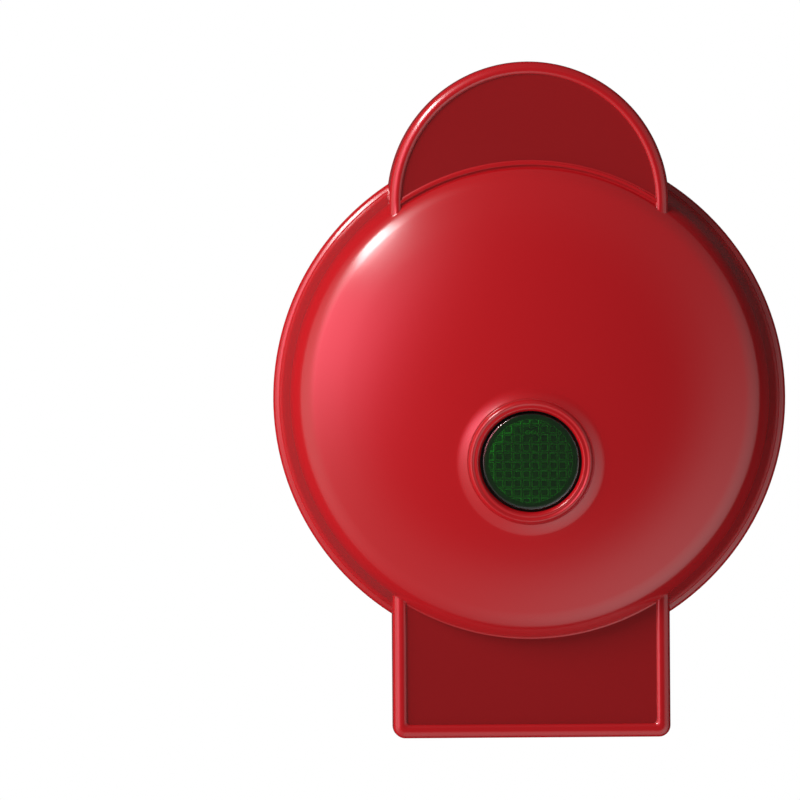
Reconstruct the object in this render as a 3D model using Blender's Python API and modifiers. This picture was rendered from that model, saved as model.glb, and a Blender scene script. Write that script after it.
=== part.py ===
"""Mini waffle maker: two round cast plates in two moulded covers that turn on one cast hinge.

The frame has X to the right, Y to the rear where the hinge is, and Z up, with the origin on the
table under the middle of the body. Each half is modelled from the parting plane, where the two
cooking plates meet, and hangs from an empty there. The lid's empty hangs from the hinge's empty.
"""

import math

import bmesh
import bpy

MM = 0.001
DEG = math.pi / 180.0
QUARTER = 90 * DEG
HALF_TURN = 180 * DEG
FULL_TURN = 360 * DEG

# Whole object
PARTING_Z = 36.0 * MM
BASE_BOTTOM_Z = 3.5 * MM
PARTING_GAP = 0.6 * MM
WALL = 2.2 * MM
FIT = 0.3 * MM
OVERRUN = 5.0 * MM
WELD = 0.01 * MM

# Round outline that both covers share
FOOT_R = 62.2 * MM
FLANGE_WIDTH = 1.8 * MM
BODY_R = FOOT_R + FLANGE_WIDTH
FOOT_RISE = 3.4 * MM
FLANGE_THICK = 2.2 * MM
FLANGE_EDGE = 0.9 * MM
FLANGE_FILLET = 0.35 * MM

# Domed lid
DOME_RISE = 31.4 * MM
SHOULDER_R = 8.0 * MM
CROWN_SLOPE = 18 * DEG
DOME_DRAFT = 12 * DEG

# Bowl of the base
BOWL_DRAFT = 19 * DEG
BOWL_CORNER_R = 4.0 * MM

# Raised rims and sunk floors of the lid's front handle and rear hood
TAB_GAP = 1.0 * MM
TAB_DRAFT = 0.6 * MM
TAB_OVERLAP = 24.2 * MM
TAB_ROOT = FOOT_R - TAB_OVERLAP
RIM_WIDTH = 2.6 * MM
RIM_HEIGHT = 2.2 * MM
RIM_EDGE = 1.0 * MM
RIM_INNER_EDGE = 0.7 * MM
HANDLE_HALF = 34.75 * MM
HANDLE_LENGTH = 20.9 * MM
HANDLE_REACH = BODY_R + HANDLE_LENGTH
HANDLE_CORNER = 3.2 * MM
HANDLE_TOP = 16.0 * MM
HOOD_R = 35.25 * MM
HOOD_TOP = 21.3 * MM

# Finger ledge under the handle, on the base
LEDGE_HALF = 33.2 * MM
LEDGE_SETBACK = 4.4 * MM
LEDGE_REACH = HANDLE_REACH - LEDGE_SETBACK
LEDGE_DEPTH = 14.0 * MM
LEDGE_DRAFT = 1.4 * MM
LEDGE_EDGE = 1.5 * MM

# Cooking plate, its face up and its back down
PLATE_INSET = 6.2 * MM
PLATE_R = FOOT_R - PLATE_INSET
PLATE_EDGE_TOP = 0.9 * MM
PLATE_EDGE_BACK = 3.8 * MM
PLATE_EDGE_ROUND = 0.4 * MM
OUTER_LAND = 3.3 * MM
OUTER_GROOVE_R = PLATE_R - OUTER_LAND
SEAL_LAND = 3.0 * MM
INNER_GROOVE_R = OUTER_GROOVE_R - SEAL_LAND
GROOVE_HALF = 0.3 * MM
GROOVE_DEPTH = 1.3 * MM
SEAL_LAND_DROP = 0.2 * MM
INNER_LAND_DROP = 0.7 * MM
PAN_INSET = 4.2 * MM
PAN_R = INNER_GROOVE_R - PAN_INSET
PAN_WALL_RUN = 1.8 * MM
PAN_DEPTH = 5.7 * MM
PAN_FILLET = 0.8 * MM
PLATE_BACK = 8.7 * MM
BACK_STEP = 6.0 * MM
BACK_STEP_R = PLATE_R - BACK_STEP
BACK_SLOPE = 1.0 * MM
BACK_FOOT_R = BACK_STEP_R - BACK_SLOPE

# Cast hinge of the two plates
TROUGH_SETBACK = 7.35 * MM
TROUGH_HALF = HOOD_R - TROUGH_SETBACK
TROUGH_WALL = 1.6 * MM
TROUGH_TAPER = 5.9 * MM
TROUGH_TAPER_X = TROUGH_HALF - TROUGH_TAPER
PIN_CLEAR = 0.6 * MM
PIN_END_X = TROUGH_HALF - TROUGH_WALL - PIN_CLEAR
TAB_LEFT = PIN_END_X
TAB_STAGGER = 2.9 * MM
TAB_RIGHT = TAB_LEFT - TAB_STAGGER
CLAW_WALL = 4.2 * MM
CLAW_REACH = 3.4 * MM
BAR_START_X = TAB_RIGHT - CLAW_WALL - CLAW_REACH
BARREL_R = 5.1 * MM
BARREL_CLEAR = 0.2 * MM
FRONT_BAR_R = 7.0 * MM
BAR_CLEAR = 0.402 * MM
BARREL_ROOM_Y = PLATE_R + BARREL_R + BARREL_CLEAR
BAR_ROOM_Y = math.sqrt(PLATE_R**2 - BAR_START_X**2) + FRONT_BAR_R + BAR_CLEAR
HINGE_Y = max(BARREL_ROOM_Y, BAR_ROOM_Y)
HOOD_SETBACK = 12.55 * MM
HOOD_CENTRE_Y = HINGE_Y - HOOD_SETBACK
HINGE_TAB_SETBACK = 7.4 * MM
TAB_Y = HINGE_Y - HINGE_TAB_SETBACK
BARREL_INNER_X = 2.45 * MM
BARREL_OUTER_X = TAB_RIGHT - CLAW_WALL - FIT
WEB_INSET = 4.3 * MM
WEB_OUTER_X = BARREL_OUTER_X - WEB_INSET
WEB_TOP = 2.9 * MM
WEB_BOTTOM = 5.2 * MM
PIN_R = 2.8 * MM
STOP_WIDTH = 3.8 * MM
STOP_R = 6.75 * MM
STOP_ANGLE = 20 * DEG
STOP_HALF = 17 * DEG
CLAW_R = 6.7 * MM
BAR_INNER_R = 5.6 * MM
REAR_BAR_R = 7.4 * MM
REAR_BAR_ANGLE = 35 * DEG
REAR_BAR_HALF = 22 * DEG
FRONT_BAR_ANGLE = 200 * DEG
FRONT_BAR_HALF = 20 * DEG
NECK_TOP = 2.5 * MM

# Room for the hinge in the covers
TROUGH_R = 9.6 * MM
HOOD_RUNNING_GAP = 0.9 * MM
PASSAGE_CLEAR = 0.5 * MM
NOTCH_CLEAR = 0.6 * MM
NOTCH_SETBACK = 16.3 * MM
NOTCH_FRONT_Y = HINGE_Y - NOTCH_SETBACK
NECK_NOTCH_DEPTH = 6.4 * MM

# Ledge in the covers that the plate's edge rests on
LIP_CLEAR = 0.5 * MM
SEAT_WIDTH = 1.8 * MM
SEAT_THICK = 2.0 * MM
SEAT_SLOPE = 1.4 * MM

# Heater's ring, and the bosses on the plate's back inside it
HEATER_SHARE = 0.7473
HEATER_RING_R = PAN_R * HEATER_SHARE
BOSS_SHARE = 0.706
BOSS_RING_R = HEATER_RING_R * BOSS_SHARE
BOSS_R = 4.0 * MM
BOSS_END = 18.2 * MM
BOSS_BORE_R = 1.8 * MM
BOSS_BORE_END = 11.0 * MM
CENTRE_BOSS_R = 4.3 * MM

# Heater, its clamp and the heat reflector
HEATER_R = 3.2 * MM
HEATER_BEND_R = 5.0 * MM
HEATER_END_X = 8.0 * MM
TERMINAL_CLEAR = 0.47 * MM
CLAMP_OVERHANG = 8.0 * MM
CLAMP_HALF = HEATER_RING_R + CLAMP_OVERHANG
CLAMP_WIDTH = 10.0 * MM
CLAMP_THICK = 1.5 * MM
REFLECTOR_OVERHANG = 10.0 * MM
REFLECTOR_R = HEATER_RING_R + REFLECTOR_OVERHANG
REFLECTOR_THICK = 0.8 * MM
REFLECTOR_EYE_R = 5.0 * MM
REFLECTOR_SLOT_HALF = 14.0 * MM
REFLECTOR_SLOT_CLEAR = 3.0 * MM
REFLECTOR_SLOT_Y = BOSS_RING_R + REFLECTOR_SLOT_CLEAR
TERMINAL_R = 2.6 * MM
TERMINAL_BEAD = 1.6 * MM
BLADE_WIDTH = 4.0 * MM
BLADE_THICK = 0.8 * MM
BLADE_LENGTH = 3.4 * MM

# Screws
SHANK_R = 1.5 * MM
SHANK_CLEAR_R = 1.9 * MM
HEAD_R = 3.2 * MM
HEAD_HEIGHT = 1.9 * MM
HEAD_CROWN_SHARE = 0.7
SHANK_END_GAP = 0.7 * MM
COUNTERBORE_R = 3.7 * MM
COUNTERBORE_DEPTH = 6.5 * MM
PILLAR_R = 5.0 * MM

# Thermostat in the base and thermal fuse in the lid, each under a strap on the plate's back
SENSOR_SHARE = 0.667
SENSOR_Y = -BOSS_RING_R * SENSOR_SHARE
THERMOSTAT_R = 6.5 * MM
THERMOSTAT_HEIGHT = 6.6 * MM
FUSE_R = 2.0 * MM
FUSE_LENGTH = 11.0 * MM
STRAP_THICK = 0.8 * MM
STRAP_WIDTH = 6.0 * MM
STRAP_FOOT = 2.4 * MM

# Indicator lamp in the dome
LAMP_Y = -15.9 * MM
LENS_R = 12.2 * MM
LENS_RISE = 0.9 * MM
LENS_EDGE = 0.2 * MM
LENS_THICK = 1.6 * MM
LENS_SKIRT = 1.4 * MM
LENS_FLANGE_R = 14.0 * MM
LENS_FLANGE_TOP = 3.1 * MM
LENS_FLANGE_THICK = 1.0 * MM
LENS_HOLE_R = 12.7 * MM
LAMP_RING_FUNNEL_R = 14.2 * MM
LAMP_RING_FUNNEL_RISE = 0.75 * MM
LAMP_RING_GROOVE_R = 14.8 * MM
LAMP_RING_GROOVE_HALF = 0.15 * MM
LAMP_RING_GROOVE_RISE = 0.35 * MM
LAMP_RING_PEAK_R = 16.2 * MM
LAMP_RING_PEAK_RISE = 1.2 * MM
LAMP_RING_BLEND_R = 18.3 * MM
LAMP_RING_BLEND_DROP = 0.75 * MM
LAMP_RING_SUNK = 1.6 * MM
HOLDER_DROP = 5.0 * MM
HOLDER_WIDTH = 8.0 * MM
HOLDER_THICK = 1.5 * MM
LAMP_R = 2.4 * MM
LAMP_LENGTH = 14.0 * MM

# Snap hooks in the dome that hold the upper reflector
HOOK_ANGLES = (30 * DEG, 150 * DEG, 270 * DEG)
HOOK_WIDTH = 6.0 * MM
HOOK_POST = 2.4 * MM
HOOK_LIP = 1.2 * MM
HOOK_LIP_HEIGHT = 1.2 * MM

# Feet, cord gland and terminal block in the base
FOOT_SIDE_INSET = 40.2 * MM
FOOT_X = FOOT_R - FOOT_SIDE_INSET
FOOT_END_INSET = 25.2 * MM
FOOT_Y = FOOT_R - FOOT_END_INSET
RUBBER_R = 5.0 * MM
RUBBER_ROUND = 0.8 * MM
RECESS_DEPTH = 1.0 * MM
GLAND_X = 24.0 * MM
GLAND_DROP = 24.5 * MM
GLAND_BOSS_R = 6.2 * MM
GLAND_BOSS_INSET = 7.6 * MM
GLAND_BOSS_END_Y = FOOT_R - GLAND_BOSS_INSET
GLAND_BOSS_LENGTH = 12.6 * MM
GLAND_BOSS_START_Y = GLAND_BOSS_END_Y - GLAND_BOSS_LENGTH
GLAND_R = 4.4 * MM
GLAND_BORE_R = 3.2 * MM
GLAND_FLANGE_R = 5.8 * MM
GLAND_FLANGE_THICK = 1.6 * MM
BLOCK_LENGTH = 20.0 * MM
BLOCK_WIDTH = 12.0 * MM
BLOCK_HEIGHT = 8.0 * MM
BLOCK_INSET = 13.0 * MM
BLOCK_Y = HEATER_RING_R - BLOCK_INSET
BLOCK_WELL_R = 2.0 * MM
BLOCK_WELL_DEPTH = 3.0 * MM
BLOCK_WELL_PITCH = 6.0 * MM

# Sleeved lead from the base to the lid, past the hinge axis
LEAD_R = 1.8 * MM
LEAD_END_SETBACK = 15.3 * MM
LEAD_END_Y = HINGE_Y - LEAD_END_SETBACK
LEAD_END_DROP = 11.3 * MM
LEAD_KNEE_SETBACK = 8.3 * MM
LEAD_KNEE_Y = HINGE_Y - LEAD_KNEE_SETBACK
LEAD_KNEE_DROP = 9.9 * MM
LEAD_TURN_SETBACK = 2.7 * MM
LEAD_TURN_Y = HINGE_Y - LEAD_TURN_SETBACK
LEAD_TURN_DROP = 5.2 * MM
LEAD_OVERSHOOT = 1.3 * MM
LEAD_REAR_Y = HINGE_Y + LEAD_OVERSHOOT
LEAD_SLOT_HALF = 2.6 * MM
LEAD_SLOT_SETBACK = 2.3 * MM
LEAD_SLOT_Y = HINGE_Y - LEAD_SLOT_SETBACK
LEAD_SLOT_DEPTH = 8.9 * MM

# How many flats stand for a circle
COVER_STEPS = 40
PLATE_STEPS = 36
HINGE_STEPS = 24
SMALL_STEPS = 16
HOOD_STEPS = 16
CORNER_STEPS = 2
RING_STEPS = 24
SCREW_STEPS = 10
HEATER_STEPS = 18


def spaced(start, end, count):
    """Values from start to end in count equal steps, both ends included."""
    return [start + (end - start) * i / count for i in range(count + 1)]


def arc(centre_r, centre_z, radius, start, end, count):
    """Points of a turned profile on an arc, angles counted from straight up, outwards."""
    return [
        (centre_r + radius * math.sin(a), centre_z + radius * math.cos(a))
        for a in spaced(start, end, count)
    ]


def new_collection(name):
    """A collection of the scene's own."""
    collection = bpy.data.collections.new(name)
    bpy.context.scene.collection.children.link(collection)
    return collection


def new_material(name, colour, roughness, metallic=0.0, alpha=1.0):
    """A plain surface with the part's colour, in linear values."""
    material = bpy.data.materials.new(name)
    material.use_nodes = True
    shader = material.node_tree.nodes["Principled BSDF"]
    shader.inputs["Base Color"].default_value = (*colour, 1.0)
    shader.inputs["Roughness"].default_value = roughness
    shader.inputs["Metallic"].default_value = metallic
    shader.inputs["Alpha"].default_value = alpha
    return material


for old in list(bpy.data.objects):
    bpy.data.objects.remove(old)

PIECES = new_collection("mini_waffle_maker")
CUTTERS = new_collection("cutters")

RED_PLASTIC = new_material("red gloss plastic", (0.402, 0.011, 0.014), 0.25)
COATED_ALUMINIUM = new_material("non-stick cast aluminium", (0.074, 0.074, 0.074), 0.5, 0.4)
HEATER_STEEL = new_material("heater tube steel", (0.25, 0.24, 0.22), 0.45, 1.0)
SHEET_STEEL = new_material("plated sheet steel", (0.6, 0.6, 0.58), 0.35, 1.0)
SCREW_STEEL = new_material("zinc plated screw", (0.5, 0.5, 0.5), 0.3, 1.0)
BLACK_PLASTIC = new_material("black plastic", (0.02, 0.02, 0.02), 0.5)
BLACK_RUBBER = new_material("black rubber", (0.015, 0.015, 0.015), 0.85)
CERAMIC = new_material("white ceramic", (0.8, 0.78, 0.72), 0.4)
GREEN_LENS = new_material("green clear plastic", (0.02, 0.09, 0.02), 0.1, 0.0, 0.6)
LAMP_GLASS = new_material("lamp glass", (0.7, 0.75, 0.7), 0.05, 0.0, 0.5)
FUSE_METAL = new_material("fuse case", (0.55, 0.5, 0.4), 0.3, 1.0)
SLEEVE = new_material("woven glass sleeve", (0.75, 0.72, 0.65), 0.8)


def place(name, data, frame, material=None, location=(0, 0, 0), rotation=(0, 0, 0)):
    """A named piece with its material, or a cutter where there is no material."""
    obj = bpy.data.objects.new(name, data)
    obj.parent = frame
    obj.location = location
    obj.rotation_euler = rotation
    if material is None:
        CUTTERS.objects.link(obj)
        obj.hide_render = True
        obj.display_type = "WIRE"
    else:
        PIECES.objects.link(obj)
        data.materials.append(material)
    return obj


def new_empty(name, location, parent=None, rotation=(0, 0, 0)):
    """A frame that pieces hang from."""
    empty = bpy.data.objects.new(name, None)
    empty.location = location
    empty.rotation_euler = rotation
    empty.parent = parent
    PIECES.objects.link(empty)
    return empty


def mesh_from(name, bm):
    """The mesh of a bmesh, which is freed."""
    mesh = bpy.data.meshes.new(name)
    bm.to_mesh(mesh)
    bm.free()
    return mesh


def turned(name, profile, steps, frame, material=None, location=(0, 0, 0), rotation=(0, 0, 0)):
    """A profile of (radius, height) points, outer side downwards, turned about local Z."""
    bm = bmesh.new()
    verts = [bm.verts.new((r, 0.0, z)) for r, z in profile]
    for here, there in zip(verts, verts[1:]):
        bm.edges.new((here, there))
    if profile[0][0] > 0.0:
        bm.edges.new((verts[-1], verts[0]))
    obj = place(name, mesh_from(name, bm), frame, material, location, rotation)
    screw = obj.modifiers.new("turn", "SCREW")
    screw.steps = steps
    screw.render_steps = steps
    screw.use_merge_vertices = True
    screw.merge_threshold = WELD
    return obj


def block(name, low, high, frame, material=None):
    """A box between two corners."""
    bm = bmesh.new()
    bmesh.ops.create_cube(bm, size=1.0)
    for vert in bm.verts:
        vert.co = [l + (h - l) * (c + 0.5) for l, h, c in zip(low, high, vert.co)]
    return place(name, mesh_from(name, bm), frame, material)


def rod(name, radius, start, end, centre, axis, frame, material=None, steps=SMALL_STEPS):
    """A cylinder along local X, Y or Z from start to end, with its axis through centre."""
    bm = bmesh.new()
    bmesh.ops.create_cone(
        bm, cap_ends=True, segments=steps, radius1=radius, radius2=radius, depth=end - start
    )
    middle = (start + end) / 2
    first, second = centre
    location = {
        "X": (middle, first, second),
        "Y": (first, middle, second),
        "Z": (first, second, middle),
    }[axis]
    rotation = {"X": (0, QUARTER, 0), "Y": (QUARTER, 0, 0), "Z": (0, 0, 0)}[axis]
    return place(name, mesh_from(name, bm), frame, material, location, rotation)


def prism(name, outline, depth, frame, material=None, location=(0, 0, 0), rotation=(0, 0, 0)):
    """A flat outline in local XY, as thick as depth along Z about its middle."""
    curve = bpy.data.curves.new(name, "CURVE")
    curve.dimensions = "2D"
    curve.fill_mode = "BOTH"
    curve.extrude = depth / 2
    spline = curve.splines.new("POLY")
    spline.use_cyclic_u = True
    spline.points.add(len(outline) - 1)
    for point, (x, y) in zip(spline.points, outline):
        point.co = (x, y, 0.0, 1.0)
    guide = place(name + "_outline", curve, None)
    depsgraph = bpy.context.evaluated_depsgraph_get()
    mesh = bpy.data.meshes.new_from_object(guide.evaluated_get(depsgraph))
    bpy.data.objects.remove(guide)
    bm = bmesh.new()
    bm.from_mesh(mesh)
    bmesh.ops.remove_doubles(bm, verts=bm.verts, dist=WELD)
    bmesh.ops.recalc_face_normals(bm, faces=bm.faces)
    bm.to_mesh(mesh)
    bm.free()
    return place(name, mesh, frame, material, location, rotation)


def tube(name, points, radius, frame, material, resolution=2):
    """A round bar or wire along points, with closed ends."""
    curve = bpy.data.curves.new(name, "CURVE")
    curve.dimensions = "3D"
    curve.bevel_depth = radius
    curve.bevel_resolution = resolution
    curve.use_fill_caps = True
    spline = curve.splines.new("POLY")
    spline.points.add(len(points) - 1)
    for point, place_at in zip(spline.points, points):
        point.co = (*place_at, 1.0)
    return place(name, curve, frame, material)


def loft(name, sections, frame, material=None):
    """A closed skin through outlines with as many points each, listed with their heights."""
    bm = bmesh.new()
    rings = []
    for outline, height in sections:
        rings.append([bm.verts.new((x, y, height)) for x, y in outline])
    for lower, upper in zip(rings, rings[1:]):
        for i, vert in enumerate(lower):
            j = (i + 1) % len(lower)
            bm.faces.new((vert, lower[j], upper[j], upper[i]))
    bm.faces.new(list(reversed(rings[0])))
    bm.faces.new(rings[-1])
    return place(name, mesh_from(name, bm), frame, material)


def combine(target, operand, operation):
    """Join to the target, or cut from it, the solid of another object."""
    modifier = target.modifiers.new(operand.name, "BOOLEAN")
    modifier.operation = operation
    modifier.solver = "EXACT"
    modifier.object = operand


def join(target, *operands):
    """Fuse solids to the target."""
    for operand in operands:
        combine(target, operand, "UNION")


def cut(target, *operands):
    """Cut solids from the target."""
    for operand in operands:
        combine(target, operand, "DIFFERENCE")


def crown_radius():
    """Radius of the dome's crown, tangent to the shoulder that meets the drafted wall."""
    slope_sin, slope_cos = math.sin(CROWN_SLOPE), math.cos(CROWN_SLOPE)
    wall_sin, wall_cos = math.cos(DOME_DRAFT), math.sin(DOME_DRAFT)
    mixed = slope_sin * wall_sin + slope_cos * wall_cos
    reach = FOOT_R * wall_sin + (FOOT_RISE - DOME_RISE) * wall_cos - SHOULDER_R * (1 - mixed)
    return reach / (mixed - wall_cos)


CROWN_R = crown_radius()


def dome_height(radius, depth=0.0):
    """Height of the crown above the parting plane, or of a surface that lies deeper."""
    ball = CROWN_R - depth
    return DOME_RISE - CROWN_R + math.sqrt(ball**2 - radius**2)


def dome_wall_r(height, depth=0.0):
    """Radius of the drafted dome wall at a height, or of its inner face."""
    return FOOT_R - (height - FOOT_RISE) * math.tan(DOME_DRAFT) - depth / math.cos(DOME_DRAFT)


def dome_profile(depth, lowest):
    """Crown, shoulder and wall of the dome at a depth under its outer face."""
    crown_z = DOME_RISE - CROWN_R
    shoulder_r = (CROWN_R - SHOULDER_R) * math.sin(CROWN_SLOPE)
    shoulder_z = crown_z + (CROWN_R - SHOULDER_R) * math.cos(CROWN_SLOPE)
    crown = arc(0.0, crown_z, CROWN_R - depth, 0.0, CROWN_SLOPE, 3)
    shoulder = arc(shoulder_r, shoulder_z, SHOULDER_R - depth, CROWN_SLOPE, QUARTER - DOME_DRAFT, 4)
    return crown + shoulder[1:] + [(dome_wall_r(lowest, depth), lowest)]


def flange_profile():
    """Rounded flange of the lid from its fillet on the wall to its lower edge."""
    centre_r = BODY_R - FLANGE_EDGE
    rounding = arc(centre_r, FLANGE_THICK - FLANGE_EDGE, FLANGE_EDGE, 0.0, QUARTER, 3)
    top = [(FOOT_R + FLANGE_FILLET, FLANGE_THICK)]
    return top + rounding + [(BODY_R, PARTING_GAP / 2)]


def bowl_corner():
    """Centre of the bowl's rounded corner."""
    centre_z = BASE_BOTTOM_Z - PARTING_Z + BOWL_CORNER_R
    tangent_z = centre_z - BOWL_CORNER_R * math.sin(BOWL_DRAFT)
    tangent_r = FOOT_R + (tangent_z + FOOT_RISE) * math.tan(BOWL_DRAFT)
    return tangent_r - BOWL_CORNER_R * math.cos(BOWL_DRAFT), centre_z


def bowl_profile(depth, highest):
    """Wall, corner and floor of the bowl at a depth inside its outer face."""
    centre_r, centre_z = bowl_corner()
    corner = arc(centre_r, centre_z, BOWL_CORNER_R - depth, QUARTER + BOWL_DRAFT, HALF_TURN, 3)
    rise = highest - corner[0][1]
    top = (corner[0][0] + rise * math.tan(BOWL_DRAFT), highest)
    return [top] + corner + [(0.0, corner[-1][1])]


def seat_profile():
    """Lip round the plate and ledge behind its edge, from inside the wall to the parting plane."""
    lip_r = PLATE_R + LIP_CLEAR
    seat_r = PLATE_R - SEAT_WIDTH
    seat_z = PLATE_EDGE_BACK + FIT
    return [(seat_r, seat_z + SEAT_THICK), (seat_r, seat_z), (lip_r, seat_z), (lip_r, -OVERRUN)]


def handle_outline(half, reach, inset):
    """Front tab seen from above, drawn in by inset, its root under the dome."""
    radius = max(HANDLE_CORNER - inset, RIM_EDGE)
    side = half - inset - radius
    front = inset + radius - reach
    left = [
        (radius * math.cos(a) - side, front + radius * math.sin(a))
        for a in spaced(HALF_TURN, HALF_TURN + QUARTER, CORNER_STEPS)
    ]
    right = [(-x, y) for x, y in reversed(left)]
    return [(-side - radius, -TAB_ROOT)] + left + right + [(side + radius, -TAB_ROOT)]


def lid_handle(inset):
    """Outline of the lid's handle."""
    return handle_outline(HANDLE_HALF, HANDLE_REACH, inset)


def base_ledge(inset):
    """Outline of the base's finger ledge."""
    return handle_outline(LEDGE_HALF, LEDGE_REACH, inset)


def hood_outline(inset):
    """Rear tab seen from above: a half circle on straight sides."""
    radius = HOOD_R - inset
    bow = [
        (radius * math.cos(a), HOOD_CENTRE_Y + radius * math.sin(a))
        for a in spaced(0.0, HALF_TURN, HOOD_STEPS)
    ]
    return [(radius, TAB_ROOT)] + bow + [(-radius, TAB_ROOT)]


def tab(name, outline, top, frame):
    """A hollow tab of the lid: drafted wall, rounded rim and a sunk floor."""
    bottom = TAB_GAP / 2
    floor = top - RIM_HEIGHT
    inner = TAB_DRAFT + RIM_WIDTH
    turns = spaced(0.0, QUARTER, CORNER_STEPS)
    skin = [(outline(0.0), bottom)]
    for turn in turns:
        inset = TAB_DRAFT + RIM_EDGE * (1 - math.cos(turn))
        skin.append((outline(inset), top - RIM_EDGE * (1 - math.sin(turn))))
    tray = [(outline(inner), floor)]
    for turn in turns:
        inset = inner - RIM_INNER_EDGE * (1 - math.cos(turn))
        tray.append((outline(inset), top - RIM_INNER_EDGE * (1 - math.sin(turn))))
    tray.append((outline(inner - RIM_INNER_EDGE), top + OVERRUN))
    hollow = [(outline(WALL), bottom - OVERRUN), (outline(WALL + TAB_DRAFT), floor - WALL)]
    solid = loft(name, skin, frame)
    cut(solid, loft(name + "_tray", tray, frame), loft(name + "_hollow", hollow, frame))
    return solid


def hood_room(x):
    """How far behind the hinge axis the hood's inner wall is, at a place across the hinge."""
    radius = HOOD_R - WALL - TAB_DRAFT
    return HOOD_CENTRE_Y - HINGE_Y + math.sqrt(radius**2 - x**2)


def barrel_profile(half, change):
    """Barrel about the hinge axis, drawn in at its ends to run inside the round hood."""
    run = half - TROUGH_TAPER_X
    places = [TROUGH_TAPER_X + run * share for share in (1.0, 0.5, 0.0)]
    side = [(min(TROUGH_R, hood_room(x) - HOOD_RUNNING_GAP) + change, x) for x in places]
    other = [(r, -x) for r, x in reversed(side)]
    return [(0.0, half)] + side + other + [(0.0, -half)]


def hinge_barrel(name, half, change, frame):
    """The barrel's solid, laid along the hinge axis."""
    profile = barrel_profile(half, change)
    place_at = (0.0, HINGE_Y, 0.0)
    return turned(name, profile, HINGE_STEPS, frame, None, place_at, (0, QUARTER, 0))


def side_block(name, half, front, rear, depth, side, frame):
    """A box across the hinge from beyond the parting plane to a depth on one side of it."""
    low, high = sorted((-side * OVERRUN, side * depth))
    return block(name, (-half, front, low), (half, rear, high), frame)


def hinge_notches(name, side, neck_depth, frame):
    """Room in a cover for the plate's hinge tab, its necks and the lead; side is up or down."""
    neck_half = TAB_RIGHT + NOTCH_CLEAR
    tab_half = TAB_LEFT + NOTCH_CLEAR
    tab_depth = PLATE_EDGE_BACK + FIT
    tab_rear = TAB_Y + NOTCH_CLEAR
    front = NOTCH_FRONT_Y
    return [
        side_block(name + "_necks", neck_half, front, HINGE_Y, neck_depth, side, frame),
        side_block(name + "_tab", tab_half, front, tab_rear, tab_depth, side, frame),
        side_block(name + "_lead", LEAD_SLOT_HALF, front, LEAD_SLOT_Y, LEAD_SLOT_DEPTH, side, frame),
    ]


def snap_hook(angle, frame):
    """Hook from the dome's inside round the edge of the reflector."""
    post_r = REFLECTOR_R + FIT
    end_r = post_r + HOOK_POST
    catch = BOSS_END
    tip = catch - HOOK_LIP_HEIGHT
    root = dome_height(end_r, WALL / 2)
    outline = [
        (post_r - HOOK_LIP, catch),
        (post_r, tip),
        (end_r, tip),
        (end_r, root),
        (post_r, root),
        (post_r, catch),
    ]
    name = "hook_%d" % round(angle / DEG)
    return prism(name, outline, HOOK_WIDTH, frame, None, (0, 0, 0), (QUARTER, 0, angle))


def upper_cover(frame, lamp_frame):
    """Domed shell of the lid with its handle, hinge hood, lamp ring and plate seat."""
    skin = dome_profile(0.0, FOOT_RISE) + flange_profile() + [(0.0, PARTING_GAP / 2)]
    cover = turned("upper_cover", skin, COVER_STEPS, frame, RED_PLASTIC)
    seat = seat_profile()
    room = dome_profile(WALL, seat[0][1] + SEAT_SLOPE) + seat + [(0.0, -OVERRUN)]
    join(cover, tab("handle", lid_handle, HANDLE_TOP, frame))
    join(cover, tab("hood", hood_outline, HOOD_TOP, frame))
    join(cover, lamp_ring(lamp_frame))
    cut(cover, turned("dome_room", room, COVER_STEPS, frame))
    cut(cover, hinge_barrel("hinge_passage", TROUGH_HALF + PASSAGE_CLEAR, PASSAGE_CLEAR, frame))
    seat_end = PLATE_EDGE_BACK + FIT + SEAT_THICK + SEAT_SLOPE + FIT
    cut(cover, *hinge_notches("lid_notch", 1, seat_end, frame))
    cut(cover, rod("lens_hole", LENS_HOLE_R, -OVERRUN, OVERRUN, (0, 0), "Z", lamp_frame, steps=RING_STEPS))
    join(cover, *[snap_hook(angle, frame) for angle in HOOK_ANGLES])
    return cover


def lamp_ring(frame):
    """Moulded ring round the lens: a funnel, a fine groove and a soft mound."""
    profile = [
        (LENS_HOLE_R - FIT, 0.0),
        (LAMP_RING_FUNNEL_R, LAMP_RING_FUNNEL_RISE),
        (LAMP_RING_GROOVE_R - 2 * LAMP_RING_GROOVE_HALF, LAMP_RING_FUNNEL_RISE),
        (LAMP_RING_GROOVE_R - LAMP_RING_GROOVE_HALF, LAMP_RING_GROOVE_RISE),
        (LAMP_RING_GROOVE_R + LAMP_RING_GROOVE_HALF, LAMP_RING_GROOVE_RISE),
        (LAMP_RING_GROOVE_R + 2 * LAMP_RING_GROOVE_HALF, LAMP_RING_FUNNEL_RISE),
        (LAMP_RING_PEAK_R, LAMP_RING_PEAK_RISE),
        ((LAMP_RING_PEAK_R + LAMP_RING_BLEND_R) / 2, LAMP_RING_FUNNEL_RISE),
        (LAMP_RING_BLEND_R, -LAMP_RING_BLEND_DROP),
        (LAMP_RING_BLEND_R, -LAMP_RING_SUNK),
        (LENS_HOLE_R - FIT, -LAMP_RING_SUNK),
    ]
    return turned("lamp_ring", profile, RING_STEPS, frame)


def pillar_places():
    """Centres of the plate's three bosses, which the screws of each half use."""
    return [
        (BOSS_RING_R * math.cos(a), BOSS_RING_R * math.sin(a))
        for a in (QUARTER, QUARTER + FULL_TURN / 3, QUARTER - FULL_TURN / 3)
    ]


def foot_places():
    """Centres of the four feet with their names."""
    return {
        "foot_front_left": (-FOOT_X, -FOOT_Y),
        "foot_front_right": (FOOT_X, -FOOT_Y),
        "foot_rear_left": (-FOOT_X, FOOT_Y),
        "foot_rear_right": (FOOT_X, FOOT_Y),
    }


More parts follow.
